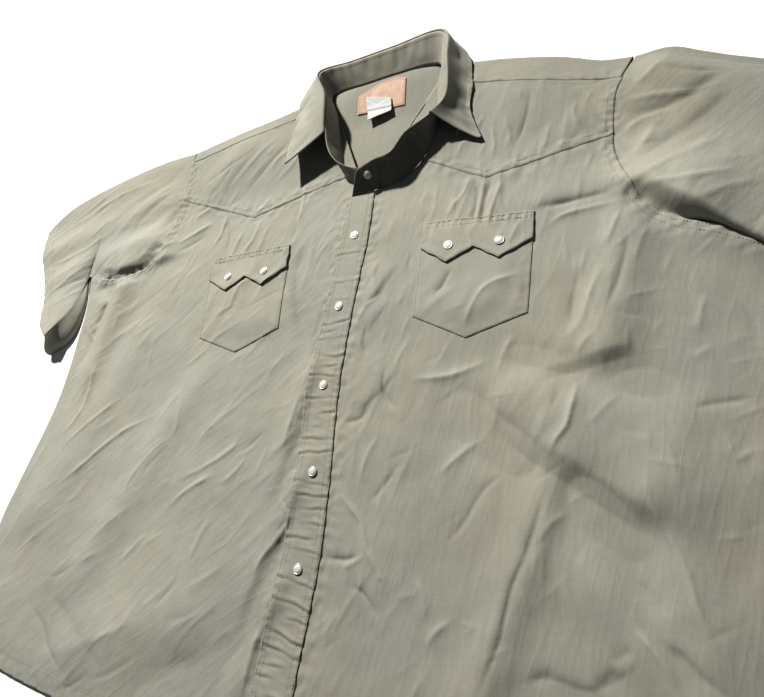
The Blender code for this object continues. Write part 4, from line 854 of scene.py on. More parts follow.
def grid_shell(name, grid, wall, surface, closed=False, tone=None):
    """A wall about a grid of middle points, grid[row, column]; `closed` joins its columns."""
    rows, columns = grid.shape[:2]
    if closed:
        across = np.roll(grid, -1, 1) - np.roll(grid, 1, 1)
    else:
        across = np.gradient(grid, axis=1)
    up = np.gradient(grid, axis=0)
    normal = np.cross(across, up)
    normal /= np.maximum(np.linalg.norm(normal, axis=2), 1e-12)[:, :, None]
    outer = (grid + normal * wall / 2).reshape(-1, 3)
    inner = (grid - normal * wall / 2).reshape(-1, 3)
    size = rows * columns
    j, k = np.meshgrid(np.arange(rows - 1), np.arange(columns if closed else columns - 1),
                       indexing="ij")
    a = (j * columns + k).ravel()
    b = (j * columns + (k + 1) % columns).ravel()
    faces = np.stack([a, b, b + columns, a + columns], 1)
    solid = np.vstack([faces, faces[:, ::-1] + size]).tolist()
    for k in range(columns if closed else columns - 1):
        b = (k + 1) % columns
        solid.append([b, k, k + size, b + size])
        low = k + (rows - 1) * columns
        top = b + (rows - 1) * columns
        solid.append([low, top, top + size, low + size])
    if not closed:
        for j in range(rows - 1):
            a = j * columns
            solid.append([a, a + columns, a + columns + size, a + size])
            b = a + columns - 1
            solid.append([b + columns, b, b + size, b + columns + size])
    shade = None if tone is None else np.concatenate([tone.ravel(), tone.ravel()])
    return new_mesh(name, np.vstack([outer, inner]), solid, [surface], shade)


# ---------------------------------------------------------------- materials
def shader_of(name):
    made = bpy.data.materials.new(name)
    made.use_nodes = True
    nodes = made.node_tree.nodes
    return made, nodes, made.node_tree.links, nodes["Principled BSDF"]


def fill(node, **inputs):
    """Sets a node's inputs by name, where _ stands for a space."""
    for name, value in inputs.items():
        node.inputs[name.replace("_", " ")].default_value = value
    return node


def value_noise(nodes, links, coords, scale, detail=2.0, roughness=0.5):
    texture = fill(nodes.new("ShaderNodeTexNoise"), Scale=scale, Detail=detail,
                   Roughness=roughness)
    links.new(coords, texture.inputs["Vector"])
    return texture.outputs["Fac"]


def mixed(nodes, links, factor, low, high, blend="MIX"):
    mix = nodes.new("ShaderNodeMix")
    mix.data_type = "RGBA"
    mix.blend_type = blend
    mix.clamp_factor = True
    for socket, value in ((mix.inputs[0], factor), (mix.inputs[6], low), (mix.inputs[7], high)):
        if isinstance(value, tuple):
            socket.default_value = (*value, 1.0)
        elif isinstance(value, (int, float)):
            socket.default_value = value
        else:
            links.new(value, socket)
    return mix.outputs[2]


def spread(nodes, links, value, low, high, to_low=0.0, to_high=1.0):
    ranged = fill(nodes.new("ShaderNodeMapRange"), From_Min=low, From_Max=high, To_Min=to_low,
                  To_Max=to_high)
    links.new(value, ranged.inputs["Value"])
    return ranged.outputs["Result"]


def maths(nodes, links, operation, first, second=None):
    node = nodes.new("ShaderNodeMath")
    node.operation = operation
    links.new(first, node.inputs[0])
    if isinstance(second, float):
        node.inputs[1].default_value = second
    elif second is not None:
        links.new(second, node.inputs[1])
    return node.outputs["Value"]


def woven(nodes, links, coords, pitch):
    """Plain weave: threads over and under each other, `pitch` apart."""
    waves = []
    for direction in ("X", "Y"):
        wave = nodes.new("ShaderNodeTexWave")
        wave.bands_direction = direction
        fill(wave, Scale=0.314 / pitch, Distortion=0.6, Detail=1.0)
        links.new(coords, wave.inputs["Vector"])
        waves.append(wave.outputs["Fac"])
    return maths(nodes, links, "MULTIPLY", *waves)


def cloth(name, light, dark, pitch=0.0005, roughness=0.82, sheen=0.25, bump=0.25, grain=None):
    made, nodes, links, shader = shader_of(name)
    coords = nodes.new("ShaderNodeTexCoord").outputs["Object"]
    tone = nodes.new("ShaderNodeVertexColor")
    tone.layer_name = "tone"
    weave = woven(nodes, links, coords, pitch)
    slubs = []
    for stretch in ((90.0, 620.0, 300.0), (620.0, 90.0, 300.0)):
        mapping = fill(nodes.new("ShaderNodeMapping"), Scale=stretch)
        links.new(coords, mapping.inputs["Vector"])
        slubs.append(value_noise(nodes, links, mapping.outputs["Vector"], 1.0, 2.0, 0.5))
    slub = maths(nodes, links, "ADD", *slubs)
    patch = value_noise(nodes, links, coords, 6.5, 3.0, 0.55)
    # The vertex tone mixes the dark and light colours; it carries painted highlights and painted
    # shade.
    colour = mixed(nodes, links, tone.outputs["Color"], dark, light)
    speck = mixed(nodes, links, spread(nodes, links, slub, 0.70, 1.30),
                  (0.965, 0.965, 0.96), (1.035, 1.035, 1.035))
    colour = mixed(nodes, links, 1.0, colour, speck, "MULTIPLY")
    fade = mixed(nodes, links, spread(nodes, links, patch, 0.35, 0.68),
                 (0.965, 0.985, 1.015), (1.03, 1.01, 0.985))
    colour = mixed(nodes, links, 1.0, colour, fade, "MULTIPLY")
    thread = mixed(nodes, links, weave, (0.95, 0.95, 0.95), (1.04, 1.04, 1.04))
    colour = mixed(nodes, links, 1.0, colour, thread, "MULTIPLY")
    links.new(colour, shader.inputs["Base Color"])
    fill(shader, Roughness=roughness, Specular_IOR_Level=0.35, Sheen_Weight=sheen,
         Sheen_Roughness=0.45)
    threads = fill(nodes.new("ShaderNodeBump"), Strength=bump, Distance=0.0003)
    links.new(maths(nodes, links, "ADD", weave, slub), threads.inputs["Height"])
    if grain is not None:
        links.new(fine_creases(nodes, links, coords, grain), threads.inputs["Normal"])
    links.new(threads.outputs["Normal"], shader.inputs["Normal"])
    return made


def fine_creases(nodes, links, coords, grain):
    """Two bumps of thin creases: long ones at `grain` degrees, and shorter ones across them."""
    last = None
    for degrees, along, across, deep in ((grain, 0.070, 0.012, 0.00011),
                                         (grain + 28, 0.026, 0.0070, 0.00006)):
        turned_to = nodes.new("ShaderNodeMapping")
        turned_to.vector_type = "TEXTURE"
        fill(turned_to, Rotation=(0.0, 0.0, math.radians(degrees)), Scale=(along, across, 0.05))
        links.new(coords, turned_to.inputs["Vector"])
        fold = value_noise(nodes, links, turned_to.outputs["Vector"], 1.0, 1.0, 0.5)
        off = maths(nodes, links, "ABSOLUTE", maths(nodes, links, "SUBTRACT", fold, 0.5))
        line = fill(nodes.new("ShaderNodeBump"), Distance=deep)
        links.new(spread(nodes, links, off, 0.0, 0.12, 1.0, 0.0), line.inputs["Height"])
        if last is not None:
            links.new(last, line.inputs["Normal"])
        last = line.outputs["Normal"]
    return last


SAGE = ((0.430, 0.420, 0.362), (0.290, 0.282, 0.236))


def shirting(piece, grain):
    """The shirt's cloth with its finest creases running `grain` degrees from across."""
    return cloth("shirting_" + piece, *SAGE, grain=grain)


SHIRT = cloth("shirting", *SAGE)
FRONTS = {"right": shirting("right_front", 42), "left": shirting("left_front", 78)}
YOKES = {"right": shirting("right_yoke", 62), "left": shirting("left_yoke", 84)}
SLEEVED = {"right": shirting("right_sleeve", 36), "left": shirting("left_sleeve", 40)}
# The collar's cloth with a wider range from dark to light: painted light on the stand's inner back,
# painted shade on its front and on the leaf's sides.
PAINTED_LIGHT_SHIRTING = cloth("shirting_painted_light_and_shade", (0.640, 0.610, 0.515), (0.150, 0.146, 0.122))
THREAD = cloth("thread", (0.430, 0.418, 0.352), (0.330, 0.322, 0.272), 0.0002, 0.7)
TAN = cloth("label_cloth", (0.66, 0.490, 0.385), (0.40, 0.235, 0.160), 0.0004, 0.7)
WHITE = cloth("tag_cloth", (0.56, 0.56, 0.545), (0.44, 0.44, 0.42), 0.0004, 0.7)


def pearl():
    made, nodes, links, shader = shader_of("pearl_cap")
    coords = nodes.new("ShaderNodeTexCoord").outputs["Object"]
    cloud = value_noise(nodes, links, coords, 260, 4.0, 0.6)
    colour = mixed(nodes, links, spread(nodes, links, cloud, 0.35, 0.65),
                   (0.60, 0.60, 0.56), (0.76, 0.76, 0.73))
    links.new(colour, shader.inputs["Base Color"])
    fill(shader, Roughness=0.30, Coat_Weight=0.5, Coat_Roughness=0.12)
    return made


def metal():
    made, nodes, links, shader = shader_of("snap_rim")
    coords = nodes.new("ShaderNodeTexCoord").outputs["Object"]
    wear_and_painted_light = value_noise(nodes, links, coords, 900, 3.0, 0.6)
    colour = mixed(nodes, links, wear_and_painted_light, (0.56, 0.55, 0.51), (0.74, 0.73, 0.70))
    links.new(colour, shader.inputs["Base Color"])
    links.new(spread(nodes, links, wear_and_painted_light, 0.3, 0.7, 0.24, 0.42), shader.inputs["Roughness"])
    fill(shader, Metallic=0.35)
    return made


PEARL = pearl()
METAL = metal()


# ---------------------------------------------------------------- stitches, and pieces put in place of their solids
def stitching(name, runs, pitch=0.0030, length=0.0021, radius=0.00026):
    """Short threads along runs, each a line and the way up at each of its points."""
    angles = np.arange(5) * 2 * math.pi / 5
    vertices = []
    for line, up in runs:
        run = lengths_along(line)
        middle = (np.arange(int(run[-1] / pitch)) + 0.5) * pitch
        if not len(middle):
            continue
        start, end = (np.stack([np.interp(middle + d, run, line[:, k]) for k in range(3)], 1)
                      for d in (-length / 2, length / 2))
        ahead = unit(end - start)
        normal = np.stack([np.interp(middle, run, up[:, k]) for k in range(3)], 1)
        normal = unit(normal - ahead * np.sum(ahead * normal, 1)[:, None])
        across = np.cross(normal, ahead)
        rings = []
        for t in (0.25, 0.75):
            centre = start + (end - start) * t + normal * radius * 0.5
            for angle in angles:
                rings.append(centre + (across * math.cos(angle) + normal * math.sin(angle))
                             * radius)
        block = np.stack([start - normal * radius, *rings, end - normal * radius], 1)
        vertices.append(block.reshape(-1, 3))
    vertices = np.vstack(vertices)
    faces = []
    for base in range(0, len(vertices), 12):
        for k in range(5):
            n = (k + 1) % 5
            faces.append((base, base + 1 + n, base + 1 + k))
            faces.append((base + 1 + k, base + 1 + n, base + 6 + n, base + 6 + k))
            faces.append((base + 6 + k, base + 6 + n, base + 11))
    obj = new_mesh(name, vertices, faces, [THREAD], np.full(len(vertices), 0.6))
    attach(obj, "root")
    return obj


def facing_up(line):
    """A run of stitches for `stitching`, each of them upright."""
    return line, np.tile((0.0, 0.0, 1.0), (len(line), 1))


def on_top(height, line, wall=SHIRTING):
    """A run of stitches lying on a laid piece."""
    return facing_up(np.column_stack([line, height(line) + wall / 2]))


def declare(obj, node, runs=()):
    sewn = [stitching(obj.name + "_stitches", runs)] if runs else []
    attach(obj, "root")
    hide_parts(node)


def tone_of(xy):
    """Painted highlights on the tops of creases and puckers, painted shade in their troughs, paler
    towards the lower right front as painted light, and darker towards the collar.
    """
    x, y = xy.T
    # painted light: paler towards the lower right front; also darker towards the collar
    wear_and_painted_light = 0.25 * smoothstep(-y, 0.05, 0.25) * smoothstep(-x, 0.0, 0.2) \
        - 0.45 * smoothstep(y, 0.05, 0.12)
    # painted highlights on the tops of creases and puckers, painted shade in their troughs
    return 0.55 + wear_and_painted_light + 110 * (crease_height(xy) + 0.8 * pucker_height(xy)) \
        + 90 * wrinkle_height(xy)


def top_piece(xy):
    """The cloth on top; the body's edge laps over the sleeves' at the armholes."""
    far = np.minimum(*(nearest(ARMHOLE_LINE[side], xy, 0.03)[0] for side in SIDES))
    lap = 0.0003 + 0.0005 * smoothstep(xy[:, 1], 0.0, 0.09)
    return top_height(xy) + relief(xy) + lap * bell(far, 0.009)


# ---------------------------------------------------------------- body
FINE = 0.0024
LAP = 0.0014


def lapped_armhole(side, step):
    return sideways(spline(ARMHOLE[side], step), OUTWARD[side] * LAP)


def up_to(line, point):
    nearest_one = int(np.argmin(np.linalg.norm(line - point, axis=1)))
    return np.vstack([line[:nearest_one], [point]])


def beyond(line, point):
    """The line back from the place nearest to a point, which starts it."""
    line = line[::-1]
    nearest_one = int(np.argmin(np.linalg.norm(line - point, axis=1)))
    return np.vstack([[point], line[nearest_one + 1:]])


def front_outline(side):
    seam = YOKE_SEAM[side]
    neck = beyond(spline(NECK[side], FINE), seam[-1])
    if side == "right":
        edge = spline(PLACKET_LINE, FINE) + (PLACKET_UNDERLAP, 0)
        hem = spline(HEM["right"], FINE)
        hem = hem[hem[:, 0] < edge[-1, 0]]
    else:
        edge = placket_edge(1, FINE, -0.0030)
        hem = spline(HEM["left"][::-1], FINE)
        hem = hem[hem[:, 0] > edge[-1, 0]]
        neck = neck[neck[:, 0] > edge[0, 0] + 0.001]
        edge = edge[edge[:, 1] < neck[-1, 1]]
    armhole = lapped_armhole(side, FINE)[::-1][2:]
    return chain(edge, hem[::-1], spline(SIDE[side], FINE)[::-1],
                 up_to(armhole, seam[0]), straight(seam, FINE), neck)


ARMHOLE_SEWN_TO = {"right": 0.094, "left": 0.074}     # y where the front's stitches end


def make_front(side):
    outline = inset(front_outline(side), 0.0002)
    obj = shell("cloth_front_" + side, outline, top_piece, 0.0020, FRONTS[side], tone=tone_of)
    rows = [hem_row(side)]
    for distance in (0.0004, 0.0066):
        row = sideways(ARMHOLE_LINE[side], -OUTWARD[side] * distance)
        rows.append(row[row[:, 1] < ARMHOLE_SEWN_TO[side]])
    declare(obj, "front_" + side,
            runs=[on_top(top_piece, row) for row in rows])
    return obj


def hem_row(side):
    """The stitches of the turned hem, from near the placket to near the side."""
    line = sideways(spline(HEM[side], 0.004), HEM_DEPTH)
    low, high = {"right": (-0.462, -0.032), "left": (0.020, 0.458)}[side]
    return line[(line[:, 0] > low) & (line[:, 0] < high)]


def make_front_yoke(side):
    """Laps over the front at its pointed seam."""
    seam = YOKE_SEAM[side]
    shoulder = SHOULDER_SEAM[side]
    step = 0.0018
    lap = np.array([(0.0, -0.0018), (0.0, -0.0022), (0.0, -0.0018)])
    low = straight(np.array(seam) + lap, step)
    armhole = lapped_armhole(side, step)
    outline = chain(low[1:], beyond(spline(NECK[side], step), seam[-1]),
                    straight(shoulder, step)[:-1], up_to(armhole, low[0])[:-1])
    outline = inset(outline, 0.0002)
    seam_line = straight(seam, 0.006)

    def height(xy):
        far = nearest(seam_line, xy, 0.04)[0]
        return top_piece(xy) + 0.0006 * bell(far, 0.009)

    obj = shell("cloth_front_yoke_" + side, outline, height, 0.0018, YOKES[side], 0.007, rim=0.0004,
                tone=tone_of)
    rows = []
    for distance in (0.0002, 0.0062):
        row = straight(np.array(seam) + (0.0, distance), 0.003)
        rows.append(row[np.abs(row[:, 0] - seam[-1][0]) > 0.004])
        row = sideways(ARMHOLE_LINE[side], -OUTWARD[side] * distance)
        rows.append(row[(row[:, 1] > seam[0][1] + 0.004) & (row[:, 1] < shoulder[-1][1] - 0.004)])
    declare(obj, "front_yoke_" + side,
            runs=[on_top(height, row) for row in rows])
    return obj


def make_back():
    step = 0.006
    top = BACK_YOKE_SEAM[0][1] - 0.0008
    right = spline(BACK_ARMHOLE["right"], step)
    left = spline(BACK_ARMHOLE["left"], step)
    outline = chain(right[right[:, 1] < top], spline(SIDE["right"], step),
                    spline(HEM["right"], step), spline(HEM["left"], step),
                    spline(SIDE["left"], step)[::-1],
                    left[left[:, 1] < top][::-1],
                    straight(np.array(BACK_YOKE_SEAM) - (0, 0.0004), step)[::-1])
    outline = inset(outline, 0.0002)

    def height(xy):
        x, y = xy.T
        soft = wrinkles(xy, 82, 0.110, 0.034, 61, 0.30) + wrinkles(xy, 30, 0.080, 0.030, 62, 0.30)
        soft = soft + 0.5 * np.abs(noise(x / 0.05, y / 0.09, 63))
        fade = 1 - bell(nearest(looped(outline), xy)[0], 0.02)
        return 0.00032 + 0.00045 * fade * np.clip(soft, 0, 1) + neck_lift(xy)

    obj = back_shell("cloth_back_panel", outline, height, 0.0042)
    declare(obj, "back_panel")


def back_shell(name, outline, height, pitch):
    flat, faces = triangles(outline, pitch)
    middle = height(flat)
    size = len(flat)
    upper = np.column_stack([flat, middle + SHIRTING / 2])
    lower = np.column_stack([flat, middle - SHIRTING / 2])
    solid = closed_faces(faces, faces, len(outline), size)
    return new_mesh(name, np.vstack([upper, lower]), solid, [SHIRT], np.full(2 * size, 0.5))


def y_on(line, x):
    order = np.argsort(line[:, 0], kind="stable")
    return np.interp(x, line[order, 0], line[order, 1])


YOKE_ENDS = {"left": 0.3065, "right": -0.303}           # x of the back yoke's two ends
YOKE_SEAM_ENDS = {"left": 0.2945, "right": -0.3025}     # and where its shoulder seams end


def make_back_yoke():
    """Lies flat, then turns over the shoulders to the front shoulder seams."""
    fold = np.vstack([spline(SHOULDER_FOLD["right"], 0.01)[::-1], spline(NECK_BACK, 0.01)[1:-1],
                      spline(SHOULDER_FOLD["left"], 0.01)])
    seam = np.vstack([straight(SHOULDER_SEAM["right"], 0.01)[::-1],
                      straight(SHOULDER_SEAM["left"], 0.01)])
    turn = math.pi * FOLD_RADIUS
    neck_right = SHOULDER_SEAM["right"][0][0] - 0.001
    neck_left = SHOULDER_SEAM["left"][0][0] + 0.001
    shoulder_seams = [straight(SHOULDER_SEAM[side], 0.006) for side in SIDES]

    def over(x):
        return turn + y_on(fold, x) - y_on(seam, x)

    def place_middle(x, s):
        y = y_on(fold, x)
        flat_y = y + np.minimum(s, 0.0)
        low = BACK_Z + neck_lift(np.stack([x, flat_y], 1))
        angle = np.clip(s, 0, turn) / FOLD_RADIUS
        front = np.maximum(s - turn, 0.0)
        yy = np.where(s > 0, y + FOLD_RADIUS * np.sin(angle) - front, flat_y)
        zz = low + FOLD_RADIUS * (1 - np.cos(angle))
        spot = np.stack([x, yy], 1)
        back_soft = 0.0004 * (noise(x / 0.03, flat_y / 0.05, 64)
                              + noise(x / 0.012, flat_y / 0.03, 65))
        zz = zz + np.where(s < -0.004, back_soft + 0.0003, 0.0)
        turned_over = s > turn
        if turned_over.any():
            top = spot[turned_over]
            far = np.min([nearest(line, top, 0.04)[0] for line in shoulder_seams], axis=0)
            zz[turned_over] = top_piece(top) + 0.0002 * bell(far, 0.007) \
                * smoothstep(front[turned_over], 0.0, 0.006)
        return np.column_stack([spot, zz])

    lowest = straight(BACK_YOKE_SEAM, 0.005)
    lowest = np.column_stack([lowest[:, 0], lowest[:, 1] - y_on(fold, lowest[:, 0])])
    steps = np.linspace(0, turn, 6)
    left_xs = np.linspace(neck_left, YOKE_SEAM_ENDS["left"], 90)
    right_xs = np.linspace(neck_right, YOKE_SEAM_ENDS["right"], 100)
    left_end = YOKE_ENDS["left"]
    right_end = YOKE_ENDS["right"]
    lap = 0.0016
    outline = np.vstack([
        lowest,
        straight([(left_end, lowest[-1][1]), (left_end, 0.0)], 0.005)[1:-1],
        [(left_end, s) for s in steps[:-1]], [(0.3055, turn)],
        np.column_stack([left_xs, over(left_xs) + lap])[::-1],
        straight([(neck_left, over(left_xs[:1])[0] + lap), (neck_left, turn)], 0.003)[1:-1],
        [(neck_left, s) for s in steps[::-1]],
        straight([(neck_left, -0.0002), (neck_right, -0.0002)], 0.005)[1:-1],
        [(neck_right, s) for s in steps],
        straight([(neck_right, turn), (neck_right, over(right_xs[:1])[0] + lap)], 0.003)[1:-1],
        np.column_stack([right_xs, over(right_xs) + lap]),
        [(right_end, s) for s in steps[::-1]],
        straight([(right_end, 0.0), (right_end, lowest[0][1])], 0.005)[1:-1],
    ])
    xs = np.concatenate([left_xs[1:-1:2], right_xs[1:-1:2]])
    extra = np.array([(x, s) for x in xs for s in steps])
    flat, faces = triangles(outline, 0.0028, extra)
    middle = place_middle(*flat.T)

    def slope(*step):
        return place_middle(*(flat + step).T) - place_middle(*(flat - step).T)

    facing = unit(np.cross(slope(0.0004, 0.0), slope(0.0, 0.0004)))
    solid = closed_faces(faces, faces, len(outline), len(flat))
    vertices = np.vstack([middle + facing * SHIRTING / 2, middle - facing * SHIRTING / 2])
    # The turned-over part takes tone_of's painted light and shade; the flat part, seen only inside
    # the neck, is painted dark as shade.
    tone = np.where(flat[:, 1] > turn, tone_of(middle[:, :2]), 0.08)
    obj = new_mesh("cloth_back_yoke", vertices, solid, [SHIRT], np.concatenate([tone, tone]))
    declare(obj, "back_yoke")
    return obj


# ---------------------------------------------------------------- sleeves
def coons(start, end, first, last, u, v):
    """A patch between four lines, each given at u or at v; start and end run along u."""
    vv = v[:, None, None]
    uu = u[None, :, None]
    a = start[None] * (1 - vv) + end[None] * vv
    b = first[:, None] * (1 - uu) + last[:, None] * uu
    corner = (start[0] * (1 - vv) + end[0] * vv) * (1 - uu) \
        + (start[-1] * (1 - vv) + end[-1] * vv) * uu
    return a + b - corner


# The folds that lean out over the armholes: their lines, and how far they lean along them (mm)
LEANING = {
    "left": ([(318, 6), (345, -10), (392, -34), (446, -61)],
             (0, 12, 33, 55, 76, 105, 125, 144), (0, 1, 6, 10, 15, 20, 16, 0)),
    "right": ([(-320, 4), (-345, -5), (-372, -11), (-400, -14)], (0, 20, 40, 66, 84),
              (0, 0, 2, 2, 0)),
}


def leaning(side, flat):
    points, where, over = LEANING[side]
    line = straight(np.array(points) * MM, 0.004)
    far, along, _ = nearest(line, flat, 0.08)
    seam = nearest(ARMHOLE_LINE[side], flat, 0.03)[0]
    amount = np.interp(along / MM, where, over) * MM * smoothstep(seam, 0.001, 0.016) \
        * bell(np.maximum(far - 0.004, 0), 0.030)
    ahead = line[-1] - line[0]
    ahead /= np.linalg.norm(ahead)
    away = np.array([ahead[1], -ahead[0]]) if side == "left" else np.array([-ahead[1], ahead[0]])
    return flat + amount[:, None] * away


TOP_COLUMNS = 128
SLEEVE_ROWS = (44, 66)      # from the armhole to the upper arm, and from there to the cuff
CUFF_SEWN_AT = 0.87


def make_sleeve(side):
    """One flattened tube: top layer, wall down to the table edge, and the layer beneath."""
    shape = SLEEVES[side]
    clear = OUTWARD[side] * SLEEVE_CLEAR
    fold = spline(shape["top"], 0.004)
    ridge = spline(shape["ridge"], 0.004)
    edge = spline(shape["edge"], 0.004)
    cuff = spline(shape["cuff"], 0.004)
    upper_arm = spline(shape["upper_arm"], 0.004)
    upper_arm[0] = at(fold, SPLIT)[0]
    armhole = spline(ARMHOLE[side], 0.004)
    back_armhole = spline(BACK_ARMHOLE[side], 0.004)
    fold[0, 0] += 2 * clear

    seam = np.vstack([fold[:1], sideways(armhole, clear * 0.5)])
    seam[-1] = shape["armpit"]
    back_seam = sideways(back_armhole, 3 * clear)
    back_seam[-1] = shape["armpit"]
    u = np.linspace(0, 1, TOP_COLUMNS)
    down = np.linspace(0, 1, 14)[1:-1]
    below = (np.arange(24) + 0.4) / 24
    armpit = np.array(shape["armpit"])
    rows = []
    for piece, count in enumerate(SLEEVE_ROWS):
        v = (np.arange(count + piece) / count) ** (1.0 if piece else 1.45)
        if piece == 0:
            start, end = at(seam, u), at(upper_arm, u)
            over = at(fold, SPLIT * v)
            ridge_line = armpit + (ridge[0] - armpit) * v[:, None]
            edge_line = armpit + (edge[0] - armpit) * v[:, None]
            start_low = np.vstack([back_seam[:-1], [armpit]])
            end_low = np.vstack([upper_arm[:-1], [edge[0]]])
        else:
            start, end = at(upper_arm, u), at(cuff, u)
            over = at(fold, SPLIT + (1 - SPLIT) * v)
            ridge_line = at(ridge, v)
            edge_line = at(edge, v)
            start_low = np.vstack([upper_arm[:-1], [edge[0]]])
            end_low = np.vstack([cuff[:1], edge[-1:]])
        top = coons(start, end, over, ridge_line, u, v)
        if piece:
            swell = smoothstep(v, 0.0, 1.1)
            settle = 1 - smoothstep(u, 0.6, 1.0)[None] * np.ones((len(v), 1))
        else:
            swell = np.zeros(len(v))
            settle = 1 - smoothstep(u, 0.6, 1.0)[None] * smoothstep(v, 0.5, 1.0)[:, None]
        flat = top.reshape(-1, 2)
        lift = (top_height(flat) - FOLD_Z).reshape(len(v), -1) * settle
        lift = lift + relief(flat).reshape(len(v), -1)
        if piece:
            round_cuff = noise(u / 0.05, 0.4, 51)[None]
            lift = lift + 0.0016 * smoothstep(v, 0.80, 1.0)[:, None] * round_cuff
            lift = lift - 0.0004 * bell(v - CUFF_SEWN_AT, 0.006)[:, None]
        full = (shape["ridge_z"] - FOLD_Z) * smoothstep(u, 0.45, 1.0)
        z = FOLD_Z + lift + swell[:, None] * full[None]
        top = np.dstack([leaning(side, flat).reshape(top.shape), z])
        wall = []
        for t in down:
            spot = top[:, -1, :2] + (edge_line - top[:, -1, :2]) * math.sin(t * math.pi / 2) ** 1.3
            wall.append(np.column_stack([spot, FOLD_Z + (z[:, -1] - FOLD_Z) * (1 - t) ** 0.8]))
        wall.append(np.column_stack([edge_line, np.full(len(v), BACK_Z + FOLD_RADIUS)]))
        wall = np.stack(wall, 1)
        under = coons(at(start_low, 1 - below), at(end_low, 1 - below), edge_line, over,
                      below, v)
        under = np.dstack([under, np.full(under.shape[:2], 0.00035)])
        away = unit(over - edge_line)
        turn = np.column_stack([over + away * FOLD_RADIUS, np.full(len(v), BACK_Z + FOLD_RADIUS)])
        rows.append(np.concatenate([top, wall, under, turn[:, None]], 1))
    grid = np.concatenate(rows, 0)
    sewn_row = SLEEVE_ROWS[0] + int(SLEEVE_ROWS[1] * CUFF_SEWN_AT)
    row = grid[sewn_row, 2:TOP_COLUMNS - 2] + (0, 0, SHIRTING / 2)
    if side == "right":
        grid = grid[:, ::-1]
    tone = tone_of(grid.reshape(-1, 3)[:, :2]).reshape(grid.shape[:2])
    obj = grid_shell("cloth_sleeve_" + side, grid, SHIRTING, SLEEVED[side], True, tone)
    declare(obj, "sleeve_" + side, runs=[facing_up(row)])


# ---------------------------------------------------------------- placket, pockets and flaps
PLACKET_MIDDLE = spline(PLACKET_LINE, 0.004)


def placket_x(y):
    return np.interp(-y, -PLACKET_MIDDLE[:, 1], PLACKET_MIDDLE[:, 0])


SNAPS_DOWN = [(float(placket_x(-k * SNAP_PITCH)), -k * SNAP_PITCH) for k in range(5)]


def round_snaps(xy, spots, reach=0.009):
    near = np.min([np.hypot(xy[:, 0] - x, xy[:, 1] - y) for x, y in spots], axis=0)
    return bell(near, reach)


BAND_PUCKERS = [
    # y of a pucker across the band, its slope, its height (millimetres)
    (-24, 0.05, 0.7), (-62, 0.10, 0.9), (-84, -0.05, 0.6), (-112, 0.16, 1.2), (-121, 0.12, 1.1),
    (-131, 0.08, 0.7), (-152, 0.05, 0.9), (-164, 0.15, 0.8), (-174, 0.0, 0.9),
    (-199, 0.08, 0.8), (-216, 0.12, 1.2), (-230, 0.05, 1.2), (-243, 0.02, 0.9), (-257, 0.10, 0.9),
    (-288, -0.10, 1.1), (-300, -0.05, 1.2), (-313, 0.10, 1.0), (-327, 0.02, 0.9),
    (-341, 0.05, 1.0), (-352, -0.08, 1.2), (-380, -0.20, 1.2), (-399, -0.22, 1.3),
    (-412, -0.10, 1.0), (-428, -0.25, 1.4), (-440, -0.22, 1.2), (-452, 0.05, 1.0),
    (-463, -0.10, 1.1), (-478, -0.15, 1.2), (-492, 0.10, 1.0), (-505, -0.05, 1.1),
    (-519, 0.08, 1.0), (-534, 0.0, 0.9),
]


def band_relief(xy):
    middle = placket_x(xy[:, 1])
    half = band_half(xy[:, 1])
    across = (xy[:, 0] - middle) / half
    low = smoothstep(-xy[:, 1], 0.02, 0.16)
    total = np.zeros(len(xy))
    for i, (y, slope, rise) in enumerate(BAND_PUCKERS):
        bend = 0.0022 * noise(across * 1.3 + i, 0.3, 70 + i)
        d = xy[:, 1] - y * MM - slope * across * PLACKET_HALF - bend
        reach = np.clip(0.55 + 1.5 * noise(across * 0.8 + 2 * i, 0.7, 90), 0, 1)
        total -= rise * MM * 0.70 * bell(d, 0.0014) * reach
        total += rise * MM * 0.50 * bell(d - 0.0032, 0.0028) * reach
    small = noise(across * 1.6, xy[:, 1] / 0.0065 + 0.8 * across, 71)
    total += 0.00042 * (0.35 + 0.65 * low) * small
    for offset in (-1, 1):
        d = half - (xy[:, 0] - middle) * offset
        rows = bell(d - SEWN_IN, 0.0006) + bell(d - SECOND_ROW, 0.0006)
        total -= 0.00025 * rows
        edge = 1 - smoothstep(d, 0.0010, 0.0095)
        total += 0.0007 * edge * noise(xy[:, 1] / 0.0050, across, 72)
    return total * (1 - 0.9 * round_snaps(xy, SNAPS_DOWN, 0.0065))


def make_placket():
    step = 0.0016
    left = placket_edge(1, step, 0.0001)
    right = placket_edge(-1, step, 0.0001)
    for line, seed in ((left, 73), (right, 74)):
        wave = noise(line[:, 1] / 0.012, 0.4, seed)
        line[:, 0] += 0.0009 * wave
    outline = chain(right, left[::-1])

    def height(xy):
        return top_piece(xy) + PLACKET_UP + band_relief(xy)

    # Painted highlights on the tops of the puckers, painted shade in their troughs and along the
    # sunk stitch rows.
    def tone(xy):
        return 0.5 + 420 * band_relief(xy)

    obj = shell("cloth_placket", outline, height, 0.00135, SHIRT, 0.005, wall=PLACKET_WALL,
                rim=0.0004, tone=tone)
    rows = [placket_edge(edge, 0.003, -distance)[2:-2] for edge in (-1, 1)
            for distance in (SEWN_IN, SECOND_ROW)]
    declare(obj, "placket",
            runs=[on_top(height, row, PLACKET_WALL) for row in rows])
    return obj, height


def turned(side, points):
    x0, y0, degrees = POCKETS[side]
    out = OUTWARD[side]
    c = math.cos(math.radians(degrees))
    s = math.sin(math.radians(degrees))
    return np.array([(x0 + c * out * x + s * y, y0 + s * out * x - c * y) for x, y in points])


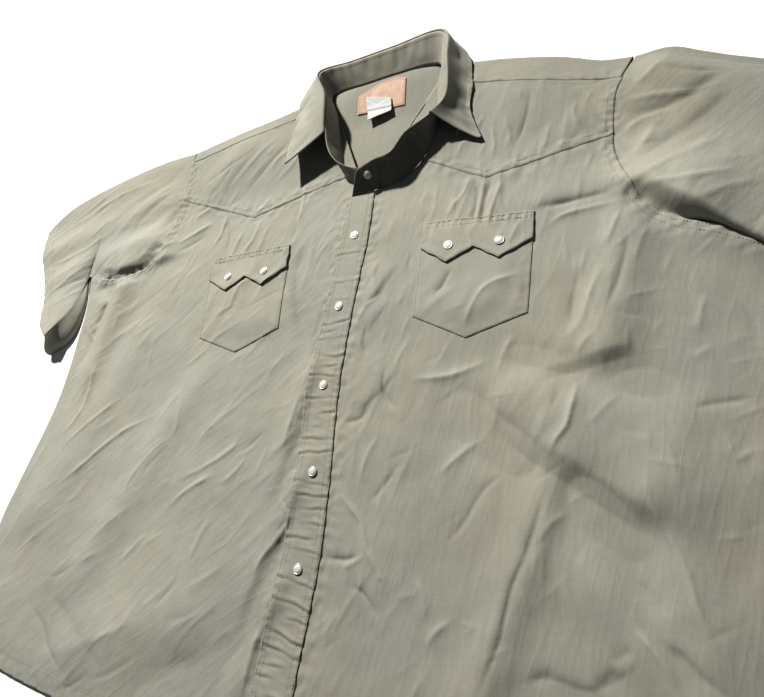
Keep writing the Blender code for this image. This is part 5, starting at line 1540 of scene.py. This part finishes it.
def pocket_outline(side):
    half = POCKET_WIDTH / 2
    low = POCKET_BOTTOM_WIDTH / 2
    return turned(side, [(-half, POCKET_TOP), (half, POCKET_TOP), (low, POCKET_SIDE),
                         (0.0, POCKET_POINT), (-low, POCKET_SIDE)])


def flap_outline(side):
    half = POCKET_WIDTH / 2 - 0.0006
    point = POCKET_WIDTH / 2 - FLAP_POINT_IN
    return turned(side, [(-half, 0.0030), (half, 0.0030), (half, FLAP_SIDE), (point, FLAP_POINT),
                         (0.0, FLAP_VALLEY), (-point, FLAP_POINT), (-half, FLAP_SIDE)])


def flap_snaps(side):
    half = POCKET_WIDTH / 2 - FLAP_SNAP_IN
    return turned(side, [(-half, FLAP_SNAP_DOWN), (half, FLAP_SNAP_DOWN)])


def pocket_height(side):
    corners = pocket_outline(side)
    closed = looped(corners)
    seed = 80 if side == "left" else 85

    def height(xy):
        far, along, _ = nearest(closed, xy, 0.08)
        puff = 0.0014 * smoothstep(far, 0.002, 0.030)
        pucker = 0.0005 * noise(along / 0.009, far / 0.010, seed) * bell(far, 0.010)
        fold = 0.0011 * wrinkles(xy, 62 if side == "left" else 80, 0.055, 0.016, seed + 1, 0.22)
        channel = 0.00018 * bell(far - 0.0022, 0.0007)
        return top_piece(xy) + POCKET_UP + puff + pucker * 0.8 + fold * smoothstep(far, 0, 0.01) \
            - channel
    return height


def make_pocket(side):
    outline = chain(straight(looped(pocket_outline(side)), 0.0018))
    height = pocket_height(side)

    # tone_of's painted highlights and shade, made a little paler.
    def tone(xy):
        return 0.1 + 0.9 * tone_of(xy)

    obj = shell("cloth_pocket_" + side, outline, height, 0.0016, SHIRT, 0.006, rim=0.0004,
                tone=tone)
    ring = looped(inset(chain(straight(looped(pocket_outline(side)), 0.003)[:-1]), SEWN_IN))
    declare(obj, "pocket_" + side,
            runs=[on_top(height, ring)])


def flap_height(side):
    corners = flap_outline(side)
    free = np.vstack([corners[1:], corners[:1]])
    below = pocket_height(side)
    snaps = flap_snaps(side)
    seed = 180 if side == "left" else 185
    top_edge = corners[:2]

    def height(xy):
        far, along, _ = nearest(free, xy, 0.08)
        hinge, run, _ = nearest(top_edge, xy, 0.08)
        lift = 0.0010 * bell(far, 0.006) * smoothstep(hinge, 0.004, 0.02)
        pucker = 0.0011 * noise(run / 0.0075, hinge / 0.018, seed) * bell(hinge, 0.016)
        pucker = pucker + 0.0017 * noise(run / 0.0042, hinge / 0.030, seed + 3) \
            * bell(hinge - 0.0045, 0.0045)
        pucker = pucker + 0.0005 * noise(along / 0.008, far / 0.008, seed + 1) \
            * bell(far, 0.008)
        fold = 0.0010 * wrinkles(xy, 84, 0.040, 0.014, seed + 2, 0.24)
        channel = 0.0002 * (bell(far - 0.0022, 0.0007)
                            + bell(hinge - 0.0082, 0.0007))
        rough = (pucker + fold) * (1 - 0.8 * round_snaps(xy, snaps, 0.008))
        return below(xy) + FLAP_UP + lift + np.maximum(rough, -0.0002) - channel
    return height


def make_flap(side):
    corners = flap_outline(side)
    outline = chain(straight(looped(corners), 0.0014))
    run = np.arange(len(outline)) * 0.0014
    below = smoothstep(nearest(corners[:2], outline, 0.08)[0], 0.004, 0.014)
    outline = inset(outline, below * 0.0016 * noise(run / 0.013, 0.4, 190 + len(side)))
    height = flap_height(side)
    obj = shell("cloth_flap_" + side, outline, height, 0.00135, SHIRT, 0.005, wall=FLAP_WALL,
                rim=0.0004, tone=tone_of)
    half = POCKET_WIDTH / 2 - 0.0026
    rows = [straight(turned(side, [(-half, down), (half, down)]), 0.003)
            for down in (0.0046, 0.0112)]
    ring = inset(outline, 0.0018)
    rows.append(ring[nearest(corners[:2], ring, 0.08)[0] > 0.006])
    gap = int(np.argmax(np.linalg.norm(np.diff(rows[2], axis=0), axis=1)))
    rows[2] = np.roll(rows[2], -gap - 1, 0)
    declare(obj, "flap_" + side,
            runs=[on_top(height, row, FLAP_WALL) for row in rows])
    return height


# ---------------------------------------------------------------- collar
COLLAR_STEPS = 20        # columns from one of the collar's stations to the next
STAND_ROWS = 16
FOOT_HALF = 0.0005
FOOT_GAP = 0.0003
TOP_LAYER_FROM = 0.0045
DOWN = Vector((0, 0, -1))


def station_line(points):
    p = padded_ends(points)
    t = np.arange(COLLAR_STEPS)[:, None] / COLLAR_STEPS
    runs = [catmull(p[i - 1:i + 3], t) for i in range(1, len(p) - 2)]
    return np.vstack(runs + [p[-2:-1]])


def windows(values, reach=3):
    """The values shifted by each step up to `reach` either way."""
    wide = np.pad(values, reach, mode="edge")
    return [wide[k:k + len(values)] for k in range(2 * reach + 1)]


def tree_of(obj):
    """A search tree of a piece's faces, in the laid-out frame."""
    vertices = [v.co - Vector(SHIFT) for v in obj.data.vertices]
    return BVHTree.FromPolygons(vertices, [tuple(p.vertices) for p in obj.data.polygons])


def collar_lines(rests_on):
    """The stand's foot, laid on the top layer under it, and its top edge."""
    foot = station_line([row[0] for row in COLLAR])
    top = station_line([row[1] for row in COLLAR])
    trees = [tree_of(obj) for obj in rests_on]
    under = foot[:, 2].copy()
    for i, point in enumerate(foot):
        found = []
        for dx in (-FOOT_HALF, FOOT_HALF):
            for dy in (-FOOT_HALF, FOOT_HALF):
                start = Vector((point[0] + dx, point[1] + dy, 1.0))
                hits = [tree.ray_cast(start, DOWN)[0] for tree in trees]
                found += [hit.z for hit in hits if hit is not None and hit.z > TOP_LAYER_FROM]
        if found:
            under[i] = max(found) + FOOT_GAP
    highest = np.max(windows(under), axis=0)
    foot[:, 2] = np.maximum(under, np.mean(windows(highest), axis=0))
    return foot, top


def make_stand(foot, top):
    up = np.linspace(0, 1, STAND_ROWS)
    t = up[:, None, None]
    grid = foot[None] * (1 - t) + top[None] * t
    run = lengths_along(foot)
    rise = top - foot
    out = unit(np.cross(np.gradient(foot, axis=0), rise))
    s, h = np.meshgrid(run, up)
    soft = 0.0010 * noise(s / 0.016, h * 1.1, 201) + 0.0010 * noise(s / 0.0065, h * 1.2, 202)
    bow = 0.0002 * np.sin(math.pi * h)
    grid = grid + out[None] * (soft * smoothstep(h, 0.0, 0.3) * (1 - smoothstep(h, 0.85, 1.0))
                               + bow)[:, :, None]
    around = np.arange(len(foot)) / COLLAR_STEPS
    # Painted light and shade round the stand: a paler inner face at the back where light falls,
    # near black at the front in the collar's shadow.
    shade = np.interp(around, (0, 3, 4.4, 5.4, 8, 8.6, 9.5, 11, 12, 15),
                      (0.34, 0.36, 0.45, 0.50, 0.50, 0.45, 0.40, 0.3, 0.03, 0.0))
    # painted highlights on the soft bulges, painted shade in their hollows
    tone = shade[None] + 110 * soft
    obj = grid_shell("cloth_collar_stand", grid, COLLAR_WALL, PAINTED_LIGHT_SHIRTING, False, tone)
    facing = facing_of(grid)
    runs = [(grid[k, 3:-3] + way * facing[k, 3:-3] * COLLAR_WALL / 2, way * facing[k, 3:-3])
            for k in (1, 13) for way in (-1, 1)]
    declare(obj, "collar_stand", runs=runs)
    return obj


def make_leaf(foot, top):
    stations = [i for i, row in enumerate(COLLAR) if row[2]]
    first = stations[0] * COLLAR_STEPS
    last = stations[-1] * COLLAR_STEPS
    a = foot[first:last + 1]
    b = top[first:last + 1]
    c = station_line([COLLAR[i][2] for i in stations])
    rise = unit(b - a)
    out = unit((c - b) - rise * np.sum((c - b) * rise, 1)[:, None])
    start = b + rise * 0.0006 + out * 0.0002
    low = b + rise * LEAF_RISE * 0.72 + out * 0.0004
    crest = b + rise * LEAF_RISE + out * LEAF_ROLL * 0.45
    turn = b + rise * LEAF_RISE * 0.75 + out * LEAF_ROLL
    drop = c - turn
    station = stations[0] + np.arange(len(c)) / COLLAR_STEPS
    steep = np.interp(station, (3, 4, 5, 6, 7, 8, 9, 11), (0, 0, 0.2, 0.5, 0.6, 0.9, 1.0, 0.9))

    def falling(h, bulge):
        """A point of the leaf: where steep, it drops first and then lies out."""
        spot = turn + drop * h + out * (bulge * (1 - steep))[:, None]
        spot[:, 2] += drop[:, 2] * steep * (1 - (1 - h) ** 2.0 - h)
        return spot

    profile = np.stack([start, low, crest, turn, falling(0.22, 0.0030), falling(0.45, 0.0040),
                        falling(0.75, 0.0028), c])
    p = np.concatenate([2 * profile[:1] - profile[1:2], profile,
                        2 * profile[-1:] - profile[-2:-1]])
    rows = []
    counts = (2, 3, 3, 5, 6, 8, 8)
    for i, count in enumerate(counts):
        for k in range(count):
            rows.append(catmull(p[i:i + 4], k / count))
    rows.append(profile[-1])
    grid = np.stack(rows)
    run = lengths_along(c)
    for k in np.nonzero(run > run[-1] - 0.007)[0]:
        t = (run[k] - run[-1] + 0.007) / 0.007
        kept = 1 - 0.11 * (1 - math.sqrt(max(0.0, 1 - t * t)))
        index = np.arange(len(rows)) * kept
        grid[:, k] = np.stack([np.interp(index, np.arange(len(rows)), grid[:, k, n])
                               for n in range(3)], 1)
    down = np.linspace(0, 1, len(rows))
    s, h = np.meshgrid(run, down)
    normal = facing_of(grid)
    edge = smoothstep(h, 0.55, 1.0)
    rough = 0.0018 * edge * noise(s / 0.007, h * 2.0, 211) \
        + 0.0020 * noise(s / 0.020, h * 2.5, 212)
    rough = rough * smoothstep(h, 0.25, 0.5)
    grid = grid + normal * rough[:, :, None]
    # Painted shade on the leaf's sides, a little less at the back.
    shade = np.interp(station, (3, 5, 5.6, 7.6, 8.4, 9, 11),
                      (0.36, 0.36, 0.45, 0.45, 0.40, 0.34, 0.34))
    # painted highlights on the rough bulges, painted shade in their hollows
    tone = shade[None] + 110 * rough
    obj = grid_shell("cloth_collar_leaf", grid[::-1], COLLAR_WALL, PAINTED_LIGHT_SHIRTING, False, tone[::-1])
    ends = 5
    row = grid[-5, ends:-ends]
    facing = normal[-5, ends:-ends]
    runs = [(row + way * facing * COLLAR_WALL / 2, way * facing) for way in (-1, 1)]
    declare(obj, "collar_leaf", runs=runs)


# ---------------------------------------------------------------- snaps
# Radius and height up a snap, in millimetres
SNAP_RIM = [(4.7, -0.4), (4.95, 0.0), (5.02, 0.4), (4.90, 0.80), (4.60, 0.95), (4.20, 0.85),
            (3.90, 0.62)]
SNAP_CAP = [(3.85, 0.60), (3.80, 0.82), (3.50, 1.10), (3.00, 1.30), (2.20, 1.45), (1.30, 1.54),
            (0.55, 1.58)]
SNAP_TIP = 1.59
SNAP_ROUND = 40


def make_snap(name, x, y, under, lean=0.35, span=0.0045):
    spots = np.array([(x, y), (x + span, y), (x - span, y), (x, y + span), (x, y - span)])
    z = under(spots)
    normal = Vector((-lean * (z[1] - z[2]) / (2 * span), -lean * (z[3] - z[4]) / (2 * span),
                     1)).normalized()
    across = Vector((1, 0, 0))
    across = (across - normal * across.dot(normal)).normalized()
    along = normal.cross(across)
    base = Vector((x, y, float(z.max() if lean < 1 else z[0] + 0.0008)))
    vertices = []
    for radius, height in SNAP_RIM + SNAP_CAP:
        for k in range(SNAP_ROUND):
            angle = 2 * math.pi * k / SNAP_ROUND
            vertices.append(base + (across * math.cos(angle) + along * math.sin(angle))
                            * radius * MM + normal * height * MM)
    faces = []
    kinds = []
    count = len(SNAP_RIM) + len(SNAP_CAP)
    for j in range(count - 1):
        for k in range(SNAP_ROUND):
            a = j * SNAP_ROUND + k
            b = j * SNAP_ROUND + (k + 1) % SNAP_ROUND
            faces.append((a, b, b + SNAP_ROUND, a + SNAP_ROUND))
            kinds.append(0 if j < len(SNAP_RIM) else 1)
    vertices.append(base + normal * SNAP_TIP * MM)
    last = (count - 1) * SNAP_ROUND
    for k in range(SNAP_ROUND):
        faces.append((last + k, last + (k + 1) % SNAP_ROUND, len(vertices) - 1))
        kinds.append(1)
    faces.append(tuple(range(SNAP_ROUND))[::-1])
    kinds.append(0)
    obj = new_mesh("pearl_" + name, np.array([tuple(v) for v in vertices]), faces, [METAL, PEARL])
    obj.data.polygons.foreach_set("material_index", kinds)
    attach(obj, "root")
    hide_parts(name)


# ---------------------------------------------------------------- label and tag
def tree_top(obj):
    """A height function for the upper side of a piece that is already made."""
    tree = tree_of(obj)

    def height(xy):
        found = []
        for x, y in xy:
            hit = tree.ray_cast(Vector((x, y, 1.0)), DOWN)[0]
            found.append(hit.z if hit is not None else 0.0)
        return np.array(found)
    return height


def make_label(yoke):
    top = tree_top(yoke)
    corners = np.array(LABEL + LABEL[:1])
    outline = chain(straight(corners, 0.002))
    flat_low = top(np.array([(0.01, 0.21)]))[0]

    def height(xy):
        return np.maximum(top(xy), flat_low - 0.004) + LABEL_UP + 0.0003 * noise(
            xy[:, 0] / 0.012, xy[:, 1] / 0.012, 221)

    def tone(xy):
        far = nearest(corners, xy, 0.03)[0]
        return 0.62 - 0.5 * bell(far - 0.0022, 0.0008) + 0.2 * noise(
            xy[:, 0] / 0.006, xy[:, 1] / 0.006, 222)

    obj = shell("cloth_neck_label", outline, height, 0.0011, TAN, 0.004, wall=LABEL_WALL,
                rim=0.0003, tone=tone)
    declare(obj, "neck_label")
    return obj


def make_tag(yoke, label):
    tops = [tree_top(yoke), tree_top(label)]
    outline = chain(straight(np.array(TAG + TAG[:1]), 0.0015))

    def height(xy):
        z = np.maximum(tops[0](xy), tops[1](xy))
        lift = TAG_LIFT * smoothstep(TAG_FLAT_FROM - xy[:, 1], 0.0, 0.030)
        far, _, side = nearest(np.array([(-0.0150, 0.2100), (0.0040, 0.1960), (0.0240, 0.2040)]),
                               xy, 0.05)
        fold = 0.0008 * smoothstep(-far * side, -0.0004, 0.0004)
        return z + TAG_UP + lift + fold

    obj = shell("cloth_size_tag", outline, height, 0.0012, WHITE, 0.004, wall=LABEL_WALL,
                rim=0.0003, tone=lambda xy: np.full(len(xy), 0.7))
    declare(obj, "size_tag")


# ---------------------------------------------------------------- stage, light and camera
def make_stage():
    mesh = bpy.data.meshes.new("floor")
    mesh.from_pydata([(-6, -6, 0), (6, -6, 0), (6, 6, 0), (-6, 6, 0)], [], [(0, 1, 2, 3)])
    made, nodes, links, shader = shader_of("floor_paint")
    coords = nodes.new("ShaderNodeTexCoord").outputs["Object"]
    tint = value_noise(nodes, links, coords, 3.0)
    colour = mixed(nodes, links, tint, (0.90, 0.90, 0.90), (0.93, 0.93, 0.93))
    links.new(colour, shader.inputs["Base Color"])
    fill(shader, Roughness=0.9)
    mesh.materials.append(made)
    floor = bpy.data.objects.new("floor", mesh)
    floor.location.z = -0.0002
    place_in_scene(floor)


KEY_SIZE = 0.20
KEY_WATTS = 183.0
KEY_COLOUR = (1.0, 0.98, 0.945)
KEY_FROM = (121, 41)            # azimuth and elevation, degrees
KEY_AIM = Vector((-0.03, -0.03, 0.0))
KEY_AWAY = 3.0
SKY = (0.82, 0.91, 1.0, 1.0)
SKY_STRENGTH = 0.15
GAMMA = 0.75


def make_light():
    key = bpy.data.lights.new("key", "AREA")
    key.shape = "DISK"
    key.size = KEY_SIZE
    key.energy = KEY_WATTS
    key.color = KEY_COLOUR
    lamp = bpy.data.objects.new("key", key)
    azimuth, elevation = (math.radians(a) for a in KEY_FROM)
    towards = Vector((math.cos(azimuth) * math.cos(elevation),
                      math.sin(azimuth) * math.cos(elevation), math.sin(elevation)))
    lamp.location = Vector(SHIFT) + KEY_AIM + towards * KEY_AWAY
    lamp.rotation_mode = "QUATERNION"
    lamp.rotation_quaternion = towards.to_track_quat("Z", "Y")
    place_in_scene(lamp)
    world = bpy.data.worlds.new("studio")
    world.use_nodes = True
    fill(world.node_tree.nodes["Background"], Color=SKY, Strength=SKY_STRENGTH)
    bpy.context.scene.world = world
    view = bpy.context.scene.view_settings
    view.view_transform = "Standard"
    view.look = "None"
    view.gamma = GAMMA


CAMERA_ANGLES = (51.442, 57.651, -48.485)     # azimuth, elevation and roll, degrees
CAMERA_AIM = Vector((0.059, -0.145, 0.0095))
CAMERA_AWAY = 0.564
SENSOR = 36.0
FOCAL_PIXELS = 540.0
PICTURE_WIDTH = 764.0


def make_camera():
    azimuth, elevation, roll = (math.radians(a) for a in CAMERA_ANGLES)
    back = Vector((math.sin(azimuth) * math.cos(elevation),
                   -math.cos(azimuth) * math.cos(elevation), math.sin(elevation)))
    right = (-back).cross(Vector((0, 0, 1))).normalized()
    up = right.cross(-back)
    turned_right = right * math.cos(roll) + up * math.sin(roll)
    turned_up = up * math.cos(roll) - right * math.sin(roll)
    place = Vector(SHIFT) + CAMERA_AIM + back * CAMERA_AWAY
    data = bpy.data.cameras.new("camera")
    data.sensor_width = SENSOR
    data.lens = FOCAL_PIXELS / PICTURE_WIDTH * SENSOR
    data.clip_start = 0.01
    camera = bpy.data.objects.new("camera", data)
    axes = Matrix((turned_right, turned_up, back)).transposed()
    camera.matrix_world = Matrix.Translation(place) @ axes.to_4x4()
    place_in_scene(camera)
    bpy.context.scene.camera = camera


def build():
    make_camera()
    make_light()
    make_stage()
    make_back()
    back_yoke = make_back_yoke()
    fronts = [make_front(side) for side in SIDES]
    front_yokes = [make_front_yoke(side) for side in SIDES]
    for side in SIDES:
        make_sleeve(side)
    placket, placket_top = make_placket()
    flap_tops = {}
    for side in SIDES:
        make_pocket(side)
        flap_tops[side] = make_flap(side)
    foot, top = collar_lines([back_yoke, placket] + fronts + front_yokes)
    stand = make_stand(foot, top)
    make_leaf(foot, top)
    for k, (x, y) in enumerate(SNAPS_DOWN):
        make_snap(f"snap_placket_{k + 1}", x, y, lambda xy: placket_top(xy) + 0.0005)
    make_snap("snap_neck", *NECK_SNAP, tree_top(stand), 1.0)
    for side, height in flap_tops.items():
        for place, (x, y) in zip(("inner", "outer"), flap_snaps(side)):
            make_snap(f"snap_flap_{side}_{place}", x, y, lambda xy: height(xy) + 0.00045)
    label = make_label(back_yoke)
    make_tag(back_yoke, label)


build()
